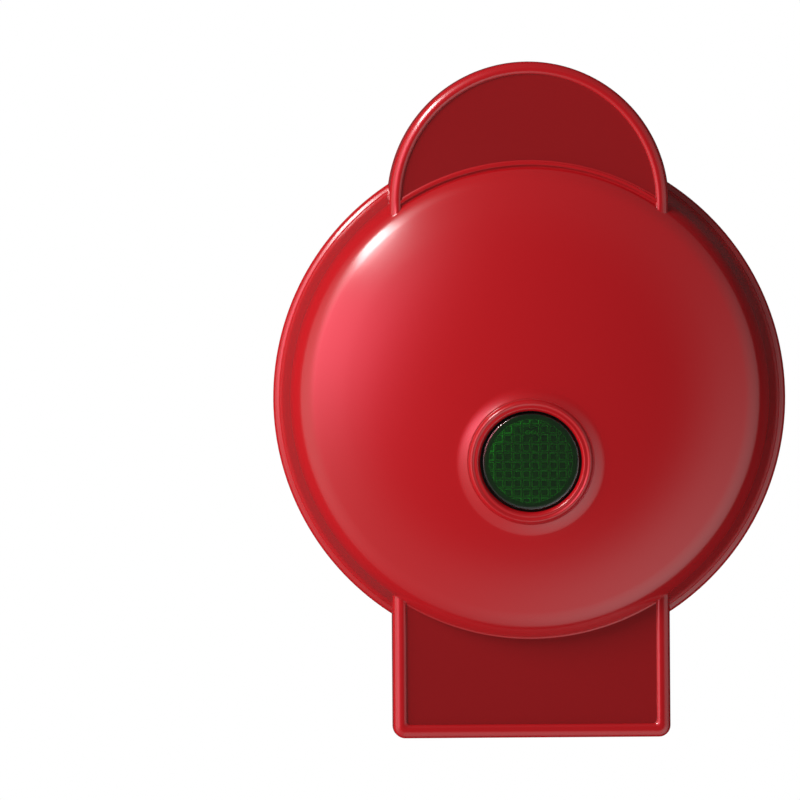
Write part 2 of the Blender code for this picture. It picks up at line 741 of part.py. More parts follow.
def ledge_solid(frame):
    """The base's finger ledge, hollow from below."""
    top = -TAB_GAP / 2
    bottom = top - LEDGE_DEPTH
    skin = []
    for turn in reversed(spaced(0.0, QUARTER, CORNER_STEPS)):
        inset = LEDGE_DRAFT + LEDGE_EDGE * (1 - math.cos(turn))
        skin.append((base_ledge(inset), bottom + LEDGE_EDGE * (1 - math.sin(turn))))
    skin.append((base_ledge(0.0), top - RIM_EDGE))
    skin.append((base_ledge(RIM_EDGE), top))
    inner = WALL + LEDGE_DRAFT
    hollow = [(base_ledge(inner), bottom - OVERRUN), (base_ledge(inner), top - WALL)]
    solid = loft("ledge", skin, frame)
    cut(solid, loft("ledge_hollow", hollow, frame))
    return solid


def lower_cover(frame):
    """Bowl of the base with its finger ledge, hinge trough, pillars, foot recesses and cord boss."""
    rim = [(r, -z) for r, z in reversed(flange_profile())]
    skin = [(0.0, -PARTING_GAP / 2)] + rim + bowl_profile(0.0, -FOOT_RISE)
    cover = turned("lower_cover", skin, COVER_STEPS, frame, RED_PLASTIC)
    trough = hinge_barrel("trough", TROUGH_HALF, 0.0, frame)
    lid_side = (BODY_R, HINGE_Y + BODY_R, TROUGH_R + OVERRUN)
    cut(trough, block("trough_lid_side", (-BODY_R, 0.0, -PARTING_GAP / 2), lid_side, frame))
    join(cover, ledge_solid(frame), trough)
    seat = [(r, -z) for r, z in reversed(seat_profile())]
    room = [(0.0, OVERRUN)] + seat + bowl_profile(WALL, seat[-1][1] - SEAT_SLOPE)
    cut(cover, turned("bowl_room", room, COVER_STEPS, frame))
    cut(cover, hinge_barrel("trough_room", TROUGH_HALF - TROUGH_WALL, -TROUGH_WALL, frame))
    cut(cover, *hinge_notches("base_notch", -1, NECK_NOTCH_DEPTH, frame))
    bottom = BASE_BOTTOM_Z - PARTING_Z
    pillar_top = -BOSS_END - FIT - REFLECTOR_THICK - FIT
    shoulder = bottom + COUNTERBORE_DEPTH
    for number, centre in enumerate(pillar_places(), 1):
        pillar = rod("pillar_%d" % number, PILLAR_R, bottom + WALL / 2, pillar_top, centre, "Z", frame)
        join(cover, pillar)
    for number, centre in enumerate(pillar_places(), 1):
        name = "counterbore_%d" % number
        cut(cover, rod(name, COUNTERBORE_R, bottom - OVERRUN, shoulder, centre, "Z", frame))
        name = "screw_hole_%d" % number
        top = pillar_top + OVERRUN
        cut(cover, rod(name, SHANK_CLEAR_R, shoulder - OVERRUN, top, centre, "Z", frame))
    for name, centre in foot_places().items():
        recess = (RUBBER_R + FIT, bottom - OVERRUN, bottom + RECESS_DEPTH)
        cut(cover, rod(name + "_recess", *recess, centre, "Z", frame))
    start, end = GLAND_BOSS_START_Y, GLAND_BOSS_END_Y
    centre = (GLAND_X, -GLAND_DROP)
    join(cover, rod("gland_boss", GLAND_BOSS_R, start, end, centre, "Y", frame))
    bore = (GLAND_R + FIT, start - OVERRUN, end + OVERRUN)
    cut(cover, rod("gland_hole", *bore, centre, "Y", frame))
    return cover


def sector(inner, outer, middle, half):
    """Outline of part of a ring about the hinge axis, angles from the rear, upwards."""
    turns = spaced(middle - half, middle + half, 5)
    outside = [(outer * math.cos(a), outer * math.sin(a)) for a in turns]
    inside = [(inner * math.cos(a), inner * math.sin(a)) for a in reversed(turns)]
    return outside + inside


def hinge_sector(name, outline, start, end):
    """An outline about the hinge axis, carried across from start to end."""
    place_at = ((start + end) / 2, HINGE_Y, 0.0)
    return prism(name, outline, end - start, None, None, place_at, (QUARTER, 0, QUARTER))


def hinge_tab_outline():
    """Two square corners behind the plate's round edge, kept clear of its outer groove."""
    root_r = OUTER_GROOVE_R + 2 * GROOVE_HALF
    right = math.acos(TAB_RIGHT / root_r)
    left = HALF_TURN - math.acos(TAB_LEFT / root_r)
    root = [(root_r * math.cos(a), root_r * math.sin(a)) for a in spaced(left, right, 6)]
    return root + [(TAB_RIGHT, TAB_Y), (-TAB_LEFT, TAB_Y)]


def groove(radius, outside, inside):
    """V groove between two lands, from the inner land's height to the outer one's."""
    return [
        (radius - GROOVE_HALF, -inside),
        (radius, -GROOVE_DEPTH),
        (radius + GROOVE_HALF, -outside),
    ]


def plate_pattern():
    """The cast plate with its hinge parts and bosses, as one guide that both plates copy."""
    wall_top_r = PAN_R + PAN_WALL_RUN
    profile = [(0.0, -PAN_DEPTH), (PAN_R - PAN_FILLET, -PAN_DEPTH), (PAN_R, PAN_FILLET / 2 - PAN_DEPTH)]
    profile += [(wall_top_r - GROOVE_HALF, -INNER_LAND_DROP - GROOVE_HALF), (wall_top_r, -INNER_LAND_DROP)]
    profile += groove(INNER_GROOVE_R, SEAL_LAND_DROP, INNER_LAND_DROP)
    profile += groove(OUTER_GROOVE_R, PLATE_EDGE_TOP, SEAL_LAND_DROP)
    profile += [(PLATE_R - PLATE_EDGE_ROUND, -PLATE_EDGE_TOP)]
    profile += [(PLATE_R, -PLATE_EDGE_TOP - PLATE_EDGE_ROUND), (PLATE_R, -PLATE_EDGE_BACK)]
    profile += [(BACK_STEP_R, -PLATE_EDGE_BACK), (BACK_FOOT_R, -PLATE_BACK), (0.0, -PLATE_BACK)]
    plate = turned("plate_pattern", profile, PLATE_STEPS, None)
    claw_in = TAB_RIGHT - CLAW_WALL
    bar_in = claw_in - CLAW_REACH
    bar_out = claw_in + CLAW_WALL / 2
    neck_out = TAB_RIGHT - FIT
    axis = (HINGE_Y, 0.0)
    rear = sector(BAR_INNER_R, REAR_BAR_R, REAR_BAR_ANGLE, REAR_BAR_HALF)
    front = sector(BAR_INNER_R, FRONT_BAR_R, FRONT_BAR_ANGLE, FRONT_BAR_HALF)
    stop = sector(PIN_R, STOP_R, STOP_ANGLE, STOP_HALF)
    root_y = TAB_Y - OVERRUN
    tab_z = -(PLATE_EDGE_TOP + PLATE_EDGE_BACK) / 2
    tab_thick = PLATE_EDGE_BACK - PLATE_EDGE_TOP
    join(
        plate,
        prism("hinge_tab", hinge_tab_outline(), tab_thick, None, None, (0, 0, tab_z)),
        rod("barrel", BARREL_R, -BARREL_OUTER_X, -BARREL_INNER_X, axis, "X", None, steps=HINGE_STEPS),
        block("web", (-WEB_OUTER_X, root_y, -WEB_BOTTOM), (-BARREL_INNER_X, HINGE_Y, -WEB_TOP), None),
        hinge_sector("stop_finger", stop, -BARREL_OUTER_X, STOP_WIDTH - BARREL_OUTER_X),
        rod("hinge_pin", PIN_R, -PIN_END_X, -WEB_OUTER_X, axis, "X", None),
        rod("claw_wall", CLAW_R, claw_in, TAB_RIGHT, axis, "X", None, steps=HINGE_STEPS),
        hinge_sector("rear_bar", rear, bar_in, bar_out),
        hinge_sector("front_bar", front, bar_in, bar_out),
        block("neck", (claw_in, root_y, -WEB_BOTTOM), (neck_out, HINGE_Y - PIN_R, -NECK_TOP), None),
    )
    cut(plate, rod("pin_hole", PIN_R + FIT, claw_in - OVERRUN, TAB_RIGHT + OVERRUN, axis, "X", None))
    centre_end = HEATER_R + HEATER_R + PLATE_BACK + FIT
    bosses = [("centre_boss", (0.0, 0.0), CENTRE_BOSS_R, centre_end)]
    for number, centre in enumerate(pillar_places(), 1):
        bosses.append(("boss_%d" % number, centre, BOSS_R, BOSS_END))
    for name, centre, radius, end in bosses:
        join(plate, rod(name, radius, -end, -PLATE_BACK + PAN_FILLET, centre, "Z", None))
        bore = (BOSS_BORE_R, -end - OVERRUN, -BOSS_BORE_END)
        cut(plate, rod(name + "_bore", *bore, centre, "Z", None))
    return plate


def plate_mesh():
    """The pattern's finished mesh, shaded smooth but for its edges."""
    pattern = plate_pattern()
    depsgraph = bpy.context.evaluated_depsgraph_get()
    mesh = bpy.data.meshes.new_from_object(pattern.evaluated_get(depsgraph))
    mesh.shade_smooth()
    mesh.set_sharp_from_angle(angle=30 * DEG)
    return mesh


def heater_end():
    """How deep the heater's ends reach, with room for their terminals under the dome."""
    stack = FIT + TERMINAL_BEAD + BLADE_LENGTH + TERMINAL_CLEAR
    return dome_height(HEATER_RING_R + TERMINAL_R, WALL) - stack


def heater_points():
    """C-shaped ring under the plate, its two ends turned down at the rear."""
    ring_z = -PLATE_BACK - FIT - HEATER_R
    turn = math.asin(HEATER_END_X / HEATER_RING_R)
    bend = HEATER_BEND_R / HEATER_RING_R
    side = []
    side.append((turn, -heater_end()))
    for a in spaced(0.0, QUARTER, 3):
        side.append((turn + bend * (1 - math.cos(a)), ring_z - HEATER_BEND_R * (1 - math.sin(a))))
    ring = [(a, ring_z) for a in spaced(side[-1][0], FULL_TURN - side[-1][0], HEATER_STEPS)]
    other = [(FULL_TURN - a, z) for a, z in reversed(side)]
    path = side[:-1] + ring + other[1:]
    return [(HEATER_RING_R * math.sin(a), HEATER_RING_R * math.cos(a), z) for a, z in path]


def screw_piece(name, frame, centre, seat, end, material):
    """Pan-head screw whose head bears upwards at seat and whose shank rises to end."""
    profile = [
        (0.0, end),
        (SHANK_R, end),
        (SHANK_R, seat),
        (HEAD_R, seat),
        (HEAD_R, seat - HEAD_HEIGHT / 2),
        (HEAD_R * HEAD_CROWN_SHARE, seat - HEAD_HEIGHT),
        (0.0, seat - HEAD_HEIGHT),
    ]
    return turned(name, profile, SCREW_STEPS, frame, material, (*centre, 0.0))


def strap(name, half, height, frame):
    """Folded strap across a sensor: two feet on the plate's back, two legs and a bridge."""
    foot = -PLATE_BACK - FIT
    inner = half + FIT
    outer = inner + STRAP_THICK
    wide = outer + STRAP_FOOT
    bridge = foot - height - FIT
    right = [
        (wide, foot),
        (inner, foot),
        (inner, bridge),
        (-inner, bridge),
        (-inner, foot),
        (-wide, foot),
        (-wide, foot - STRAP_THICK),
        (-outer, foot - STRAP_THICK),
        (-outer, bridge - STRAP_THICK),
        (outer, bridge - STRAP_THICK),
        (outer, foot - STRAP_THICK),
        (wide, foot - STRAP_THICK),
    ]
    place_at = (0.0, SENSOR_Y, 0.0)
    return prism(name, right, STRAP_WIDTH, frame, SHEET_STEEL, place_at, (QUARTER, 0, 0))


def terminal(name, side, frame):
    """Ceramic bead and flat blade on one end of the heater."""
    x = side * HEATER_END_X
    y = math.sqrt(HEATER_RING_R**2 - HEATER_END_X**2)
    top = -heater_end() - FIT
    bead_end = top - TERMINAL_BEAD
    bead = rod(name, TERMINAL_R, bead_end, top, (x, y), "Z", frame, CERAMIC)
    low = (x - BLADE_WIDTH / 2, y - BLADE_THICK / 2, bead_end - BLADE_LENGTH)
    high = (x + BLADE_WIDTH / 2, y + BLADE_THICK / 2, bead_end + TERMINAL_BEAD / 2)
    join(bead, block(name + "_blade", low, high, frame))
    return bead


def heater_clamp(name, frame):
    """Flat bar with round ends that presses the heater to the plate."""
    top = -PLATE_BACK - FIT - 2 * HEATER_R - FIT
    end = CLAMP_WIDTH / 2
    straight = CLAMP_HALF - end
    right = [(straight + end * math.sin(a), end * math.cos(a)) for a in spaced(HALF_TURN, 0.0, 6)]
    left = [(-x, -y) for x, y in right]
    place_at = (0.0, 0.0, top - CLAMP_THICK / 2)
    bar = prism(name, right + left, CLAMP_THICK, frame, SHEET_STEEL, place_at)
    low = top - CLAMP_THICK - OVERRUN
    cut(bar, rod(name + "_eye", SHANK_CLEAR_R, low, top + OVERRUN, (0, 0), "Z", frame))
    return bar


def reflector(name, frame):
    """Thin disc behind the heater, with an eye, three screw holes and a slot for the leads."""
    top = -BOSS_END - FIT
    low = top - REFLECTOR_THICK
    profile = [(0.0, top), (REFLECTOR_R, top), (REFLECTOR_R, low), (0.0, low)]
    disc = turned(name, profile, RING_STEPS, frame, SHEET_STEEL)
    span = (low - OVERRUN, top + OVERRUN)
    cut(disc, rod(name + "_eye", REFLECTOR_EYE_R, *span, (0, 0), "Z", frame))
    for number, centre in enumerate(pillar_places(), 1):
        cut(disc, rod("%s_hole_%d" % (name, number), SHANK_CLEAR_R, *span, centre, "Z", frame))
    corner = (-REFLECTOR_SLOT_HALF, REFLECTOR_SLOT_Y, span[0])
    far = (REFLECTOR_SLOT_HALF, REFLECTOR_R + OVERRUN, span[1])
    cut(disc, block(name + "_slot", corner, far, frame))
    return disc


def half_internals(prefix, frame):
    """Heater, clamp, clamp screw, reflector and terminals of one half, behind its plate."""
    tube(prefix + "_heater", heater_points(), HEATER_R, frame, HEATER_STEEL)
    heater_clamp(prefix + "_heater_clamp", frame)
    clamp_seat = -PLATE_BACK - 2 * FIT - 2 * HEATER_R - CLAMP_THICK - FIT
    end = -BOSS_BORE_END - SHANK_END_GAP
    screw_piece(prefix + "_clamp_screw", frame, (0, 0), clamp_seat, end, SCREW_STEEL)
    reflector(prefix + "_reflector", frame)
    terminal(prefix + "_terminal_left", -1, frame)
    terminal(prefix + "_terminal_right", 1, frame)


def indicator(frame):
    """Lens, lamp holder and lamp, in the frame that stands square on the dome."""
    inner = LENS_R - LENS_SKIRT
    flange_low = -LENS_FLANGE_TOP - LENS_FLANGE_THICK
    fall = LENS_RISE - LENS_EDGE
    lens = [(LENS_R * share, LENS_RISE - fall * share**2) for share in (0.0, 0.5, 1.0)]
    lens += [(LENS_R, -LENS_FLANGE_TOP), (LENS_FLANGE_R, -LENS_FLANGE_TOP)]
    lens += [(LENS_FLANGE_R, flange_low), (inner, flange_low)]
    lens += [(inner, LENS_EDGE - LENS_THICK), (0.0, LENS_EDGE - LENS_THICK)]
    turned("indicator_lens", lens, RING_STEPS, frame, GREEN_LENS)
    top = flange_low - FIT
    low = top - HOLDER_DROP
    wide = LENS_FLANGE_R
    slim = LENS_FLANGE_R - HOLDER_THICK
    outline = [
        (-wide, top),
        (-wide, low),
        (wide, low),
        (wide, top),
        (slim, top),
        (slim, low + HOLDER_THICK),
        (-slim, low + HOLDER_THICK),
        (-slim, top),
    ]
    prism("lamp_holder", outline, HOLDER_WIDTH, frame, BLACK_PLASTIC, (0, 0, 0), (QUARTER, 0, 0))
    lamp_z = low + HOLDER_THICK + FIT + LAMP_R
    ball = LAMP_LENGTH / 2 - LAMP_R
    upper = [(LAMP_R * math.sin(a), ball + LAMP_R * math.cos(a)) for a in spaced(0.0, QUARTER, 3)]
    profile = upper + [(r, -z) for r, z in reversed(upper)]
    profile[0] = (0.0, upper[0][1])
    profile[-1] = (0.0, -upper[0][1])
    turned("indicator_lamp", profile, SCREW_STEPS, frame, LAMP_GLASS, (0.0, 0.0, lamp_z), (0, QUARTER, 0))


def lid_sensor(frame):
    """Thermal fuse on the upper plate's back, under its clip."""
    centre = (SENSOR_Y, -PLATE_BACK - FIT - FUSE_R)
    rod("thermal_fuse", FUSE_R, -FUSE_LENGTH / 2, FUSE_LENGTH / 2, centre, "X", frame, FUSE_METAL, 12)
    strap("thermal_fuse_clip", FUSE_LENGTH / 2, 2 * FUSE_R, frame)


def base_sensor(frame):
    """Thermostat on the lower plate's back, under its bracket."""
    top = -PLATE_BACK - FIT
    low = top - THERMOSTAT_HEIGHT
    step = THERMOSTAT_HEIGHT / 3
    cap_r = THERMOSTAT_R - 2 * FIT
    profile = [(0.0, top), (cap_r, top), (cap_r, top - step), (THERMOSTAT_R, top - step)]
    profile += [(THERMOSTAT_R, low), (0.0, low)]
    turned("thermostat", profile, SMALL_STEPS, frame, FUSE_METAL, (0.0, SENSOR_Y, 0.0))
    strap("thermostat_bracket", THERMOSTAT_R, THERMOSTAT_HEIGHT, frame)


def foot(name, centre):
    """Rubber foot, its top let into the base."""
    top = BASE_BOTTOM_Z + RECESS_DEPTH - FIT
    profile = [(0.0, top), (RUBBER_R, top), (RUBBER_R, RUBBER_ROUND)]
    profile += [(RUBBER_R - RUBBER_ROUND, 0.0), (0.0, 0.0)]
    turned(name, profile, SMALL_STEPS, None, BLACK_RUBBER, (*centre, 0.0))


def cord_gland(frame):
    """Bush in the cord boss: a sleeve with a flange outside, open right through."""
    flange_start = GLAND_BOSS_END_Y + FIT
    flange_end = flange_start + GLAND_FLANGE_THICK
    sleeve_start = GLAND_BOSS_START_Y - FIT
    profile = [
        (GLAND_BORE_R, -sleeve_start),
        (GLAND_R, -sleeve_start),
        (GLAND_R, -flange_start),
        (GLAND_FLANGE_R, -flange_start),
        (GLAND_FLANGE_R, -flange_end),
        (GLAND_BORE_R, -flange_end),
    ]
    place_at = (GLAND_X, 0.0, -GLAND_DROP)
    turned("cord_gland", profile, SMALL_STEPS, frame, BLACK_PLASTIC, place_at, (QUARTER, 0, 0))


def terminal_block(frame):
    """Insulating block on the base's floor, with a row of screw wells."""
    floor = BASE_BOTTOM_Z - PARTING_Z + WALL + FIT
    top = floor + BLOCK_HEIGHT
    low = (GLAND_X - BLOCK_LENGTH / 2, BLOCK_Y - BLOCK_WIDTH / 2, floor)
    high = (GLAND_X + BLOCK_LENGTH / 2, BLOCK_Y + BLOCK_WIDTH / 2, top)
    body = block("terminal_block", low, high, frame, BLACK_PLASTIC)
    for step in (-1, 0, 1):
        centre = (GLAND_X + step * BLOCK_WELL_PITCH, BLOCK_Y)
        span = (top - BLOCK_WELL_DEPTH, top + OVERRUN)
        cut(body, rod("well_%d" % (step + 2), BLOCK_WELL_R, *span, centre, "Z", frame, steps=12))


def hinge_lead(frame):
    """Sleeved wires that pass between the two barrels, round the hinge axis."""
    lower = [
        (LEAD_END_Y, -LEAD_END_DROP),
        (LEAD_KNEE_Y, -LEAD_KNEE_DROP),
        (LEAD_TURN_Y, -LEAD_TURN_DROP),
    ]
    route = lower + [(LEAD_REAR_Y, 0.0)] + [(y, -z) for y, z in reversed(lower)]
    points = []
    padded = [route[0]] + route + [route[-1]]
    for before, start, end, after in zip(padded, padded[1:], padded[2:], padded[3:]):
        for share in (0.0, 0.25, 0.5, 0.75):
            y, z = [smooth(a, b, c, d, share) for a, b, c, d in zip(before, start, end, after)]
            points.append((0.0, y, z))
    points.append((0.0, *route[-1]))
    tube("hinge_lead", points, LEAD_R, frame, SLEEVE)


def smooth(before, start, end, after, share):
    """Value between start and end on a smooth curve that also heeds its neighbours."""
    slope_in = (end - before) / 2
    slope_out = (after - start) / 2
    rest = end - start
    curve = (3 * rest - 2 * slope_in - slope_out) * share**2
    return start + slope_in * share + curve + (slope_in + slope_out - 2 * rest) * share**3


def build():
    """All pieces of the base and the lid."""
    base = new_empty("base_half", (0.0, 0.0, PARTING_Z))
    hinge = new_empty("lid_hinge", (0.0, HINGE_Y, PARTING_Z))
    lid = new_empty("lid_frame", (0.0, -HINGE_Y, 0.0), hinge)
    lid_half = new_empty("lid_half", (0.0, 0.0, 0.0), lid, (0, HALF_TURN, 0))
    lamp_tilt = math.asin(-LAMP_Y / CROWN_R)
    lamp = new_empty("lamp_frame", (0.0, LAMP_Y, dome_height(LAMP_Y)), lid, (lamp_tilt, 0, 0))
    plate = plate_mesh()
    upper_cover(lid, lamp)
    lower_cover(base)
    place("lower_plate", plate, base, COATED_ALUMINIUM)
    place("upper_plate", plate.copy(), lid_half, COATED_ALUMINIUM)
    half_internals("lower", base)
    half_internals("upper", lid_half)
    base_sensor(base)
    lid_sensor(lid_half)
    indicator(lamp)
    for name, centre in foot_places().items():
        foot(name, centre)
    cord_gland(base)
    terminal_block(base)
    hinge_lead(base)
    shank_end = -BOSS_BORE_END - SHANK_END_GAP
    base_seat = BASE_BOTTOM_Z - PARTING_Z + COUNTERBORE_DEPTH - FIT
    lid_seat = -BOSS_END - FIT - REFLECTOR_THICK - FIT
    for number, centre in enumerate(pillar_places(), 1):
        screw_piece("base_screw_%d" % number, base, centre, base_seat, shank_end, SCREW_STEEL)
        name = "upper_reflector_screw_%d" % number
        screw_piece(name, lid_half, centre, lid_seat, shank_end, SCREW_STEEL)


build()
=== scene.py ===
# %% [markdown]
# # Mini waffle maker, seen from straight above
#
# A small round electric waffle and pancake maker, closed. The domed lid is one glossy red
# moulding with a sunk handle in front, a sunk hood over the hinge behind and a ring round a
# green lamp window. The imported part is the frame, and each visible piece is made again here
# finer, from the same measures in millimetres.

import math

import bmesh
import bpy
from mathutils import Matrix, Vector


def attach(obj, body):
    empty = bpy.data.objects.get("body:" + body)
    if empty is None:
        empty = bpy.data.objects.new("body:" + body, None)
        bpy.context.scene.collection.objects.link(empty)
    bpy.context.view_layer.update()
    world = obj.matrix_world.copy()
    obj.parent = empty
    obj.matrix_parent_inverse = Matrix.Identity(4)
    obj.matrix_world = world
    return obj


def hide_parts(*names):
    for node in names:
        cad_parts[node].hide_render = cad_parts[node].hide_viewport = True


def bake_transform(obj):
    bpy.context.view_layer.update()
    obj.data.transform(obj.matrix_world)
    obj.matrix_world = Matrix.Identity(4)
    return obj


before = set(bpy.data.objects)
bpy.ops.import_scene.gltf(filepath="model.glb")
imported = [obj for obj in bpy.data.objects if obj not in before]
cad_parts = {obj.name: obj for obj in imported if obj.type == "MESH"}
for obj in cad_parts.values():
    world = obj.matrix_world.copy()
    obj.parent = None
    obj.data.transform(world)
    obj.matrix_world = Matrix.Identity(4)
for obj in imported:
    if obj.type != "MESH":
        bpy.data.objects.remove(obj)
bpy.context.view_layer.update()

# %% [markdown]
# ## Measures
#
# All lengths below are millimetres in the part's own frame: X to the right, Y to the hinge, Z up,
# with the plates meeting at PARTING. They repeat the part's source, so that the finer pieces lie
# where the frame has them. They differ in the number of facets and the small fillets. To match the
# photograph, the shoulder and the tabs' rims are rounder, the sunk floors shallower, the ring round
# the lamp lower, and the lens thinner at its wall. The snap hooks under the dome are left out.

# %% Measures
PARTING = 36.0
BOTTOM = 3.5
WALL = 2.2
GAP = 0.3
BODY_R, FOOT_R, FOOT_RISE = 64.0, 62.2, 3.4
FLANGE, FLANGE_EDGE, FLANGE_FILLET, FLANGE_TILT = 2.2, 1.7, 0.5, math.radians(15)
DOME_RISE, SHOULDER_R = 31.4, 9.5
CROWN_SLOPE, DOME_DRAFT = math.radians(18), math.radians(12)
BOWL_DRAFT, BOWL_CORNER = math.radians(19), 4.0
HINGE_Y = 61.3
LAMP_Y = -15.9
LENS_HOLE_R, MOUND_R, MOUND_WIDTH = 12.6, 15.75, 2.9
CROWN_SEAM_R = 45
HANDLE_HALF, HANDLE_REACH, HANDLE_CORNER_R = 34.75, 84.9, 3.2
LEDGE_HALF, LEDGE_REACH = 33.2, 80.5
HOOD_R, HOOD_Y = 35.25, 48.75
TAB_ROOT_Y = 38.0
HANDLE_TOP, HOOD_TOP, SUNK, RIM, RIM_BOW = 16.0, 21.3, 0.8, 3.65, 1.1
BOSS_RING_R = 24
PIN_R, PIN_CLEARANCE = 2.8, 0.3
LEAD_R = 1.8
SHARP_EDGE = math.radians(32)
TURN = 2 * math.pi
ROUND = 192
FINE = 9


def crown_radius():
    """Radius of the dome's crown, tangent to the shoulder that meets the drafted wall."""
    slope_sin, slope_cos = math.sin(CROWN_SLOPE), math.cos(CROWN_SLOPE)
    wall_sin, wall_cos = math.cos(DOME_DRAFT), math.sin(DOME_DRAFT)
    mixed = slope_sin * wall_sin + slope_cos * wall_cos
    reach = FOOT_R * wall_sin + (FOOT_RISE - DOME_RISE) * wall_cos - SHOULDER_R * (1 - mixed)
    return reach / (mixed - wall_cos)


CROWN_R = crown_radius()


def ball_drop(radius):
    """How far the crown's ball falls away from its tangent plane."""
    return CROWN_R - math.sqrt(CROWN_R**2 - radius**2)


LID = Matrix.Translation((0, 0, PARTING))
LAMP_TILT = math.asin(-LAMP_Y / CROWN_R)
LAMP_FOOT = Matrix.Translation((0, LAMP_Y, DOME_RISE - ball_drop(LAMP_Y)))
LAMP = LID @ LAMP_FOOT @ Matrix.Rotation(LAMP_TILT, 4, "X")
FLIPPED = LID @ Matrix.Rotation(math.pi, 4, "Y")
ACROSS = Matrix.Rotation(math.pi / 2, 4, "Y")
HINGE = Matrix.Translation((0, HINGE_Y, 0))
print("crown radius", round(CROWN_R, 2), "mm, lamp tilt", round(math.degrees(LAMP_TILT), 2), "degrees")

# %% [markdown]
# ## Shaping tools
#
# Every piece is built from rings of corners: a turned profile, or a skin through outlines. Solids
# are joined and cut the way the mould is, with the cutter's own solid.

# %% Shaping tools


def spaced(start, end, count):
    """Values from start to end in count equal steps, both ends included."""
    return [start + (end - start) * i / count for i in range(count + 1)]


def arc(centre_r, centre_z, radius, start, end, count=FINE):
    """Profile points on an arc, angles counted from straight up, outwards."""
    turns = spaced(start, end, count)
    return [(centre_r + radius * math.sin(a), centre_z + radius * math.cos(a)) for a in turns]


def solid(name, verts, faces, at=LID):
    """An object whose corners are given in millimetres in a local frame."""
    mesh = bpy.data.meshes.new(name)
    mesh.from_pydata([(at @ Vector(v)) * 0.001 for v in verts], [], faces)
    bm = bmesh.new()
    bm.from_mesh(mesh)
    bmesh.ops.remove_doubles(bm, verts=bm.verts, dist=1e-7)
    bmesh.ops.recalc_face_normals(bm, faces=bm.faces)
    bm.to_mesh(mesh)
    bm.free()
    obj = bpy.data.objects.new(name, mesh)
    bpy.context.scene.collection.objects.link(obj)
    return obj


def skin(name, rings, at=LID, ends="capped"):
    """A closed solid through rings of corners, its ends capped, pointed or joined to each other."""
    count = len(rings[0])
    verts = [v for ring in rings for v in ring]
    faces = []
    pairs = list(zip(range(len(rings)), range(1, len(rings))))
    if ends == "joined":
        pairs.append((len(rings) - 1, 0))
    for here, there in pairs:
        for i in range(count):
            j = (i + 1) % count
            faces.append((here * count + i, here * count + j, there * count + j, there * count + i))
    if ends == "capped":
        faces.append(tuple(range(count)))
        faces.append(tuple(range(len(verts) - count, len(verts))))
    return solid(name, verts, faces, at)


def circle(radius, height, count=ROUND):
    """Corners of a level circle about local Z."""
    turns = [TURN * i / count for i in range(count)]
    return [(radius * math.cos(a), radius * math.sin(a), height) for a in turns]


def turned(name, profile, at=LID, count=ROUND):
    """A profile of (radius, height) points turned about local Z; it closes on the axis or on itself."""
    rings = [circle(r, z, count) for r, z in profile]
    return skin(name, rings, at, "joined" if profile[0][0] > 0 else "pointed")


def loft(name, sections, at=LID):
    """A skin through outlines, each with its height."""
    return skin(name, [[(x, y, z) for x, y in outline] for outline, z in sections], at)


def prism(name, outline, low, high, at=LID):
    """An outline in local XY carried from one height to another."""
    return loft(name, [(outline, low), (outline, high)], at)


def box(name, low, high, at=LID):
    """A box between two corners."""
    (a, b, c), (d, e, f) = low, high
    return prism(name, [(a, b), (d, b), (d, e), (a, e)], c, f, at)


def carve(obj, operation, *tools):
    """Joins solids to an object or cuts them from it, and takes the tools away."""
    for tool in tools:
        step = obj.modifiers.new(tool.name, "BOOLEAN")
        step.operation = operation
        step.solver = "EXACT"
        step.object = tool
    graph = bpy.context.evaluated_depsgraph_get()
    mesh = bpy.data.meshes.new_from_object(obj.evaluated_get(graph))
    obj.modifiers.clear()
    obj.data = mesh
    for tool in tools:
        bpy.data.objects.remove(tool)
    return obj


def finished(obj, material, body, nodes):
    """Shades a piece smooth up to its edges, and sets what it is made of, rides on and replaces."""
    obj.data.shade_smooth()
    obj.data.set_sharp_from_angle(angle=SHARP_EDGE)
    if not obj.data.materials:
        obj.data.materials.append(material)
    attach(obj, body)
    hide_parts(*nodes)
    print(obj.name, len(obj.data.polygons), "faces")


# %% [markdown]
# ## Materials
#
# Both covers are injection-moulded ABS with a polished skin. The sunk floors of the handle and the
# hood are a little rougher, and their red is darker, as painted shade for the recess. The plates are
# cast aluminium with a black-grey non-stick coating, which leaves a fine grain.

# %% Material tools


def linear(red, green, blue):
    """A colour on the 0 to 255 display scale as the renderer's linear values."""
    values = [c / 255 for c in (red, green, blue)]
    return (*[v / 12.92 if v <= 0.04045 else ((v + 0.055) / 1.055) ** 2.4 for v in values], 1.0)


def node(tree, kind, settings=None, inputs=None):
    """A shader node with its settings; an input is a value or the socket it comes from."""
    made = tree.nodes.new("ShaderNode" + kind)
    for key, value in (settings or {}).items():
        setattr(made, key, value)
    for key, value in (inputs or {}).items():
        if isinstance(value, bpy.types.NodeSocket):
            tree.links.new(value, made.inputs[key])
        else:
            made.inputs[key].default_value = value
    return made


def mix(tree, share, first, second):
    """The first shader where share is 0, and the second where it is 1."""
    return node(tree, "MixShader", None, {0: share, 1: first.outputs[0], 2: second.outputs[0]})


